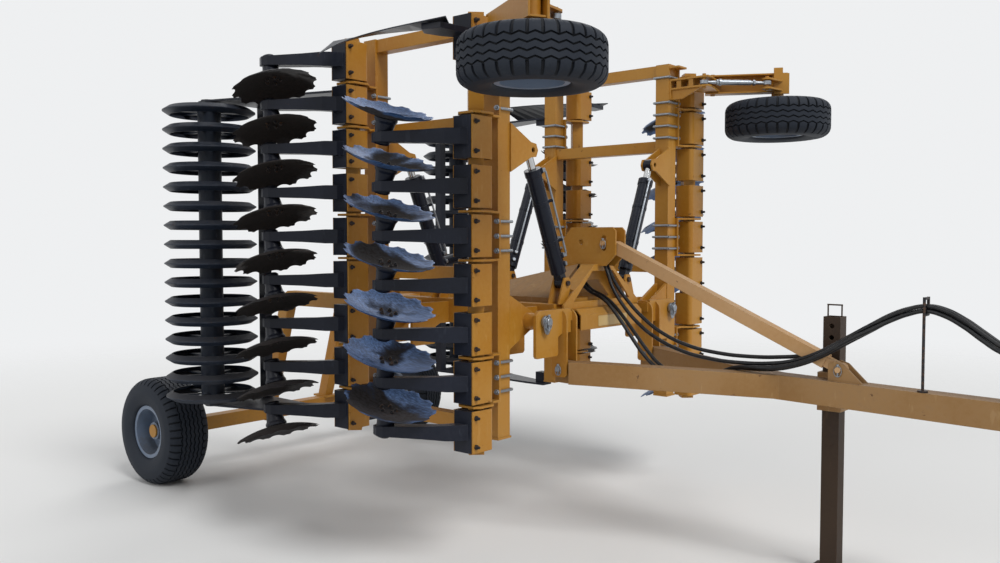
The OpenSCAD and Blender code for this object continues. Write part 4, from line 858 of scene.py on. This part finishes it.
def disc_place(side, row, number, up):
    """Place of a disc's middle: on its arm, tilted by the disc angle."""
    tilt = Matrix.Rotation(up * DISC_ANGLE, 4, "Y")
    flip = Matrix.Diagonal((1.0, 1.0, up, 1.0))
    return (to_wing(side) @ station(row, number) @ Matrix.Translation(HUB) @ tilt @ flip
            @ Matrix.Translation((0.0, 0.0, DISC_STAND)))


def make_discs():
    """All discs, one piece for each row of a wing."""
    # The front discs' steel is blue: a painted reflection of the sky in their polish
    front = soil_polished("disc_front_sky_tinted", tone(86, 122, 174), tone(50, 72, 108), tone(50, 48, 50),
                          share=0.66, shine=0.6)
    # The rear discs' steel is near black: painted shade over the rear row, with rust and earth
    rear = soil_polished("disc_rear_shaded", tone(44, 42, 46), tone(28, 27, 30), tone(26, 22, 21),
                         share=0.80, shine=0.3)
    for side, row, first, last, up in ROWS:
        chance = random.Random(10 * row + side)
        made = bmesh.new()
        made.verts.layers.float.new("rim")
        for number in range(first, last + 1):
            one = worn_disc(chance)
            put(made, one, disc_place(side, row, number, up))
            one.free()
        name = f"{SIDE_NAMES[side]}_{'rear' if row else 'front'}_discs"
        made_piece = fit_piece(name, to_mesh(name, made), [rear if row else front],
                               SIDE_NAMES[side] + "_wing")
        if row == 0:
            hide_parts(SIDE_NAMES[side] + "_discs")


def smooth_path(points, steps):
    """Points along a smooth curve through the points given."""
    ends = [points[0]] + list(points) + [points[-1]]
    found = []
    for index in range(len(points) - 1):
        a, b, c, d = (Vector(p) for p in ends[index:index + 4])
        for step in range(steps):
            t = step / steps
            found.append(0.5 * (2 * b + (c - a) * t + (2 * a - 5 * b + 4 * c - d) * t * t
                                + (3 * b - a - 3 * c + d) * t ** 3))
    found.append(Vector(points[-1]))
    return found


def tyre_mesh(radius, half, bead, grooves, periods, zigzag, depth, block_start):
    """A tyre round Z: zigzag grooves along the tread and blocks over both shoulders.

    grooves are the distances of the grooves from the tyre's middle.
    """
    groove_half = 0.0035
    groove_lip = 0.0012
    shoulder = half * 0.952
    # How far the shoulder lies below the crown, and how far a block's inner corners stand out
    fall = 0.046
    corner_out = 0.005
    # Shares of a period: gap floor, gap walls and the block, with the zigzag's turns among them
    shares = [0.0, 0.085, 0.17, 0.21, 0.40, 0.585, 0.77, 0.96]
    in_gap = [True, True, True, False, False, False, False, False]
    at_corner = [False, False, False, True, False, False, False, True]

    def crown(across):
        return radius - fall * (abs(across) / shoulder) ** 6

    def swing(share):
        return 1.0 - 4.0 * abs((share - 0.085) % 1.0 - 0.5)

    # Rows: distance across, radius below the crown, share of the zigzag, kind
    tread = []
    for middle in grooves:
        tread += [(middle - groove_half - groove_lip, 0.0, 1.0, "top"),
                  (middle - groove_half, depth, 1.0, "floor"),
                  (middle + groove_half, depth, 1.0, "floor"),
                  (middle + groove_half + groove_lip, 0.0, 1.0, "top")]
    rib_middles = [(a + b) / 2 for a, b in zip(grooves, grooves[1:])]
    tread += [(middle, 0.0, 0.9, "top") for middle in rib_middles]
    tread.sort()
    for side in (-1, 1):
        blocks = []
        for share in (0.0, 0.22, 0.45, 0.65, 0.82, 0.95):
            across = side * (block_start + (shoulder - block_start) * share)
            blocks.append((across, 0.0, max(0.0, 1.0 - 4.0 * share), "block"))
        tread = sorted(blocks, key=lambda item: item[0]) + tread if side < 0 else tread + blocks
    # Sidewall: radius and distance from the middle, from the shoulder in to the bead
    wall = smooth_path([(radius - fall, shoulder), (radius * 0.72, half), (bead + 0.016, half * 0.9),
                        (bead + 0.002, half * 0.76)], 5)
    rows = [(-p[1], p[0], 0.0, "wall") for p in reversed(wall)]
    rows += [(across, crown(across) - below, lean, kind) for across, below, lean, kind in tread]
    rows += [(p[1], p[0], 0.0, "wall") for p in wall]
    rows += [(half * 0.72, bead - 0.016, 0.0, "wall"), (-half * 0.72, bead - 0.016, 0.0, "wall")]
    columns = periods * len(shares)

    def corner(row, column):
        across, r, lean, kind = rows[row]
        part = column % len(shares)
        angle = math.tau * (column // len(shares) + shares[part]) / periods
        if kind in ("top", "floor"):
            across += zigzag * swing(shares[part]) * lean
        mark = 1.0 if kind == "floor" else 0.0
        if kind == "block":
            reach = (abs(across) - block_start) / (shoulder - block_start)
            if in_gap[part]:
                r -= depth * (1.0 if reach < 0.9 else 0.3)
                mark = 1.0
            side = 1.0 if across > 0 else -1.0
            across += zigzag * swing(shares[part]) * lean
            if at_corner[part] and reach < 0.02:
                across += side * corner_out
        return Vector((r * math.cos(angle), r * math.sin(angle), across)), mark

    return ring_surface(len(rows), columns, corner, wrap=True, mark_name="groove")


def middle_of(node):
    """The middle of a node's box."""
    low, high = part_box(node)
    return (low + high) / 2


def make_tyres(finish):
    """The treads of the gauge wheels and the road wheels, in place of their plain tyres."""
    upright = Matrix.Rotation(math.pi / 2, 4, "X")
    # Tread, what it replaces, its body, its sizes and how it is turned from lying flat
    for side in (RIGHT, LEFT):
        name = SIDE_NAMES[side]
        for tread, tyre, body, sizes, turn in [
            (name + "_gauge_tread", name + "_gauge_tyre", name + "_gauge_wheel", GAUGE_TYRE, Matrix()),
            (name + "_road_tread", name + "_tyre", name + "_wheel", ROAD_TYRE, upright),
        ]:
            mesh = to_mesh(tread, tyre_mesh(**sizes), 32.0)
            mesh.transform(Matrix.Translation(middle_of(tyre)) @ turn)
            fit_piece(tread, mesh, [finish], body, [tyre])


def clamp_bolts(tree):
    """Thread ends on the front face of every clamp, over its nuts."""
    for side in (RIGHT, LEFT):
        spots = []
        clamps = [(row, number) for row, number, up in discs_of(side)]
        clamps += [(row, number) for wing, row, number in SHIELDS if wing == side]
        for row, number in clamps:
            place = to_wing(side) @ station(row, number)
            for rise in (-CLAMP_BOLT_RISE, CLAMP_BOLT_RISE):
                seat = place @ Vector((CLAMP_BOLT_SEAT, CLAMP_BOLT_OUT, rise))
                spots.append((seat, Vector((1.0, 0.0, 0.0))))
        sizes = bolt_sizes(nut=0.0132, thread=0.0075, reach=0.016, washer=1.3)
        mesh = tree.run(spots_mesh(spots), sizes)
        fit_piece(SIDE_NAMES[side] + "_clamp_nuts", mesh, [], SIDE_NAMES[side] + "_wing")


def disc_bolts(tree):
    """The bolts that hold each disc, in a ring on its hollow side."""
    for side in (RIGHT, LEFT):
        spots = []
        for row, number, up in discs_of(side):
            place = disc_place(side, row, number, up)
            away = (place.to_3x3() @ Vector((0.0, 0.0, 1.0))).normalized()
            for bolt in range(DISC_BOLTS):
                angle = math.tau * (bolt + 0.25) / DISC_BOLTS
                seat = Vector((DISC_BOLT_RING * math.cos(angle), DISC_BOLT_RING * math.sin(angle),
                               DISC_BOLT_SEAT))
                spots.append((place @ seat, away))
        sizes = bolt_sizes(nut=0.011, thread=0.006, reach=0.005, washer=1.25)
        mesh = tree.run(spots_mesh(spots), sizes)
        fit_piece(SIDE_NAMES[side] + "_disc_bolts", mesh, [], SIDE_NAMES[side] + "_wing")


def wheel_nuts(tree):
    """Nuts in a ring on every wheel's disc, on both faces of a gauge wheel's."""
    # Wheel: node, body, axis out of the wheel, ring radius, number of nuts and the sides they show on
    for side in (RIGHT, LEFT):
        name = SIDE_NAMES[side]
        for node, body, axis, ring, count, ways in [
            (name + "_rim", name + "_wheel", Vector((0.0, side, 0.0)), RIM_RING, RIM_NUTS, (1.0,)),
            (name + "_gauge_rim", name + "_gauge_wheel", Vector((0.0, 0.0, 1.0)), GAUGE_RIM_RING,
             GAUGE_RIM_NUTS, (1.0, -1.0)),
        ]:
            across = axis.orthogonal().normalized()
            along = axis.cross(across)
            spots = []
            for way in ways:
                for nut in range(count):
                    angle = math.tau * nut / count
                    place = middle_of(node) + axis * (way * WHEEL_DISC_HALF)
                    place += (across * math.cos(angle) + along * math.sin(angle)) * ring
                    spots.append((place, axis * way))
            sizes = bolt_sizes(nut=0.0145, thread=0.008, reach=0.009, washer=1.2)
            mesh = tree.run(spots_mesh(spots), sizes)
            fit_piece(node + "_nuts", mesh, [], body)


def wire_loop(wide, tall, wire):
    """An oval loop of wire in the XZ plane, round the origin."""
    turns = 28
    sides = 8

    def corner(row, column):
        angle = math.tau * row / turns
        around = math.tau * column / sides
        out = Vector((math.cos(angle), 0.0, math.sin(angle)))
        middle = Vector((wide * out.x, 0.0, tall * out.z))
        return middle + wire * (math.cos(around) * out + Vector((0.0, math.sin(around), 0.0))), 0.0

    return ring_surface(turns, sides, corner, wrap=True)


def lathe(profile, sides=24):
    """A closed turned piece round Z; the profile runs from one end of the axis to the other."""
    def corner(row, column):
        radius, height = profile[row]
        angle = math.tau * column / sides
        return Vector((radius * math.cos(angle), radius * math.sin(angle), height)), 0.0

    return ring_surface(len(profile), sides, corner, wrap=False)


def stub(radius, length):
    """The end of a pin along Z, its edge turned off."""
    edge = 0.0025
    return lathe([(radius, 0.0), (radius, length - edge), (radius - edge, length)])


def add_part(target, source, matrix):
    """Adds a bmesh to another at a place and lets go of it."""
    put(target, source, matrix)
    source.free()


def linch_pin(target, place, radius):
    """A linch pin with its loop snapped round a pin that runs along Y at a place."""
    # The loop hangs lower than the pin's middle by drop, and tall is half its height
    drop = 0.007
    tall = radius + 0.0035 + drop
    wire = 0.0022
    shank = 0.0048
    head = 0.008
    add_part(target, wire_loop(radius + 0.004, tall + 0.002, wire),
             Matrix.Translation(place - Vector((0.0, 0.0, drop))))
    peg = lathe([(0.0035, 0.0), (shank, 0.003), (shank, 2 * tall - 0.004), (head, 2 * tall),
                 (head, 2 * tall + 0.008), (0.005, 2 * tall + 0.011)], 12)
    add_part(target, peg, Matrix.Translation(place - Vector((0.0, 0.0, tall + drop))))


def hinge_pin_end(target, end):
    """The end of a hinge pin along X, its oval keeper plate, and the loop and peg round it."""
    along_x = Matrix.Rotation(math.pi / 2, 4, "Y")
    across = Matrix.Rotation(math.pi / 2, 4, "Z")
    oval = Matrix.Diagonal((1.0, 1.0, 1.75, 1.0))
    keeper = lathe([(0.030, 0.0), (0.030, 0.005), (0.027, 0.006)], 28)
    loop = wire_loop(PIVOT_RADIUS + 0.005, PIVOT_RADIUS + 0.014, 0.0025)
    peg = lathe([(0.005, 0.0), (0.005, 0.078), (0.009, 0.082), (0.009, 0.09)], 12)
    add_part(target, stub(PIVOT_RADIUS, 0.024), Matrix.Translation(end) @ along_x)
    add_part(target, keeper, Matrix.Translation(end + Vector((0.0, 0.0, -0.018))) @ oval @ along_x)
    add_part(target, loop, Matrix.Translation(end + Vector((0.014, 0.0, -0.008))) @ across)
    add_part(target, peg, Matrix.Translation(end + Vector((0.014, 0.0, -0.050))))


def leg_pin_end(target, end):
    """The end of the pin that holds the parking leg, with its pull loop."""
    along_y = Matrix.Rotation(-math.pi / 2, 4, "X")
    add_part(target, stub(LEG_PIN_RADIUS, 0.020),
             Matrix.Translation(end - Vector((0.0, 0.008, 0.0))) @ along_y)
    add_part(target, wire_loop(0.030, 0.040, 0.003),
             Matrix.Translation(end + Vector((0.0, 0.006, -0.034))))


def pin_ends(finish):
    """Every pin's end that shows, in one piece."""
    made = bmesh.new()
    for side in (RIGHT, LEFT):
        wing = to_wing(side)
        for place in (DRAW_PIN, STAY_PIN, STAY_FOOT_PIN):
            linch_pin(made, wing @ place, PLAIN_PIN_RADIUS)
        hinge_pin_end(made, wing @ HINGE_PIN)
    leg_pin_end(made, ROW + LEG_PIN)
    fit_piece("pin_ends", to_mesh("pin_ends", made, 40.0), [finish], "frame")


def barrel_frame(side, row):
    """From a fold cylinder's own drawing, its axis up from the lower pin, to the machine."""
    shift = Vector((-row * ROW_GAP, 0.0, 0.0))
    axis = CYLINDER_HIGH - CYLINDER_LOW
    lean = math.atan2(axis.z, axis.y) - math.pi / 2
    return to_wing(side) @ Matrix.Translation(CYLINDER_LOW + shift) @ Matrix.Rotation(lean, 4, "X")


def port_place(place, reach, height):
    """A place on the ports' side of a cylinder, its Z outwards."""
    outward = PORT_SIDE.to_track_quat("Z", "X").to_matrix().to_4x4()
    return place @ Matrix.Translation(PORT_SIDE * reach + Vector((0.0, 0.0, height))) @ outward


def pipe_line(place):
    """Corners of the pipe from a cylinder's top port down to its foot."""
    corners = [(COLLAR_RADIUS + 0.005, PIPE_TOP), (PIPE_STAND, PIPE_TOP), (PIPE_STAND, PIPE_FOOT),
               (BARREL_RADIUS + 0.010, PIPE_FOOT)]
    return [place @ (PORT_SIDE * reach + Vector((0.0, 0.0, height))) for reach, height in corners]


def cylinder_fittings(tree, bare, painted):
    """Ports, pipes and bands of the fold cylinders."""
    for side in (RIGHT, LEFT):
        name = SIDE_NAMES[side] + "_barrel"
        body = SIDE_NAMES[side] + "_barrels"
        places = [barrel_frame(side, row) for row in (0, 1)]
        bright = bmesh.new()
        dark = bmesh.new()
        for place in places:
            for height, foot, reach in PORTS:
                spot = port_place(place, foot - 0.003, height)
                add_part(dark, lathe([(0.017, 0.0), (0.017, 0.009), (0.0155, 0.011)], 20), spot)
                add_part(bright, lathe([(0.013, 0.0), (0.013, reach - 0.004), (0.0115, reach)], 6), spot)
            for height in BAND_HEIGHTS:
                band = lathe([(0.0452, -0.011), (0.0472, -0.010), (0.0472, 0.010), (0.0452, 0.011)], 32)
                add_part(dark, band, place @ Matrix.Translation((0.0, 0.0, height)))
                clip = lathe([(0.010, 0.0), (0.010, 0.024), (0.008, 0.026)], 12)
                add_part(dark, clip, port_place(place, BARREL_RADIUS + 0.001, height))
        fit_piece(name + "_ports", to_mesh(name + "_ports", bright), [bare], body)
        fit_piece(name + "_bands", to_mesh(name + "_bands", dark), [painted], body)
        lines = [pipe_line(place) for place in places]
        pipes = tree.run(lines_mesh(lines), {"Pipe radius": 0.0062, "Bend radius": 0.016})
        shade_smooth(pipes, 40.0)
        fit_piece(name + "_pipes", pipes, [], body)


def bare_sign(finish):
    """The blank sign on the front face of the front cross beam, its corners rounded."""
    made = bmesh.new()
    bmesh.ops.create_cube(made, size=1.0)
    bmesh.ops.scale(made, vec=SIGN_SIZE, verts=made.verts)
    bmesh.ops.translate(made, vec=ROW + SIGN_PLACE + SIGN_SIZE / 2, verts=made.verts)
    through = [edge for edge in made.edges if abs((edge.verts[0].co - edge.verts[1].co).x) > 0.001]
    bmesh.ops.bevel(made, geom=through, offset=SIGN_CORNER, segments=4, profile=0.5, affect="EDGES")
    fit_piece("blank_sign", to_mesh("blank_sign", made), [finish], "frame")


def mark_faces(name, finish, inside):
    """Gives a second finish to the faces of a node whose middle passes a test."""
    mesh = NODES[name].data
    mesh.materials.append(finish)
    number = len(mesh.materials) - 1
    for face in mesh.polygons:
        if inside(face.center):
            face.material_index = number


def as_drawn(point):
    """A point of either wing, in the wings' own drawing."""
    return Vector((point.x, abs(point.y), point.z)) - ROW


def near_pin(point, pin, axis, radius):
    """True where a point lies within a radius of a pin along X (0) or Y (1), with a little slack."""
    gap = as_drawn(point) - pin
    gap[axis] = 0.0
    return gap.length < radius + 0.0005


def mark_pins(bright, dark, painted):
    """Bare steel on the pins and clamp bolts of painted nodes, and paint on the rods' eyes."""
    def on_bolt(point):
        behind = ROW.x + DISC_BEAM.x - point.x
        wide = CLAMP_HALF + 0.0003
        return abs(behind) > wide and abs(behind - ROW_GAP) > wide

    def on_frame_pin(point):
        collar = near_pin(point, HINGE_PIN, 0, HINGE_COLLAR_RADIUS)
        # In front of the hinge plate's face, on the front cross beam as on the rear one
        ahead = as_drawn(point).x % ROW_GAP > HINGE_PLATE_FACE
        return (collar and ahead) or near_pin(point, DRAW_PIN, 1, PLAIN_PIN_RADIUS)

    def on_cylinder_pin(point):
        return near_pin(point, CYLINDER_LOW, 0, PLAIN_PIN_RADIUS)

    def on_eye(point):
        return near_pin(point, CYLINDER_HIGH, 0, ROD_EYE_RADIUS)

    for side in (RIGHT, LEFT):
        mark_faces(SIDE_NAMES[side] + "_clamps", dark, on_bolt)
        mark_faces(SIDE_NAMES[side] + "_rods", painted, on_eye)
    mark_faces("front_crossbeam", bright, on_frame_pin)
    mark_faces("rear_crossbeam", bright, on_frame_pin)
    mark_faces("long_beams", dark, on_cylinder_pin)


def dress_nodes(zinc, dark, cylinder):
    """Finishes of the CAD nodes that show as they are."""
    paint = frame_paint()
    # Finish: the ends of the names of the nodes that wear it
    worn_by = [
        (drawbar_paint(), ("drawbar", "cover")),
        (sunlit_stay_paint(), ("top_stay",)),
        (leg_paint(), ("leg",)),
        (black_paint(), ("tow_eye", "_arms", "_shield")),
        (roller_paint(), ("_roller",)),
        (cylinder, ("_barrels", "chassis_barrel")),
        (chrome_rod(), ("_rods", "chassis_rod")),
        (zinc, ("valve_block", "couplers", "_ubolts", "_turnbuckle")),
        (dark, ("hose_holder",)),
        (plain_rubber(), ("_rubbers",)),
        (rim_silver(), ("_rim",)),
    ]
    for name, node in NODES.items():
        chosen = paint
        for finish, endings in worn_by:
            if name.endswith(endings):
                chosen = finish
        node.data.materials.clear()
        node.data.materials.append(chosen)
        for face in node.data.polygons:
            face.material_index = 0
    mark_pins(zinc, dark, cylinder)


def make_fittings(zinc, dark, cylinder):
    """Pins, bolts, pipes and the sign, on top of the plain nodes."""
    pin_ends(zinc)
    dark_bolts = bolt_tree(dark)
    clamp_bolts(dark_bolts)
    disc_bolts(dark_bolts)
    wheel_nuts(bolt_tree(zinc))
    cylinder_fittings(pipe_tree(zinc), zinc, cylinder)
    bare_sign(sign_paint())


zinc_plate = bright_steel()
bare_iron = dark_steel()
gloss_black = cylinder_paint()
dress_nodes(zinc_plate, bare_iron, gloss_black)
make_fittings(zinc_plate, bare_iron, gloss_black)
make_tyres(tyre_rubber())
make_discs()
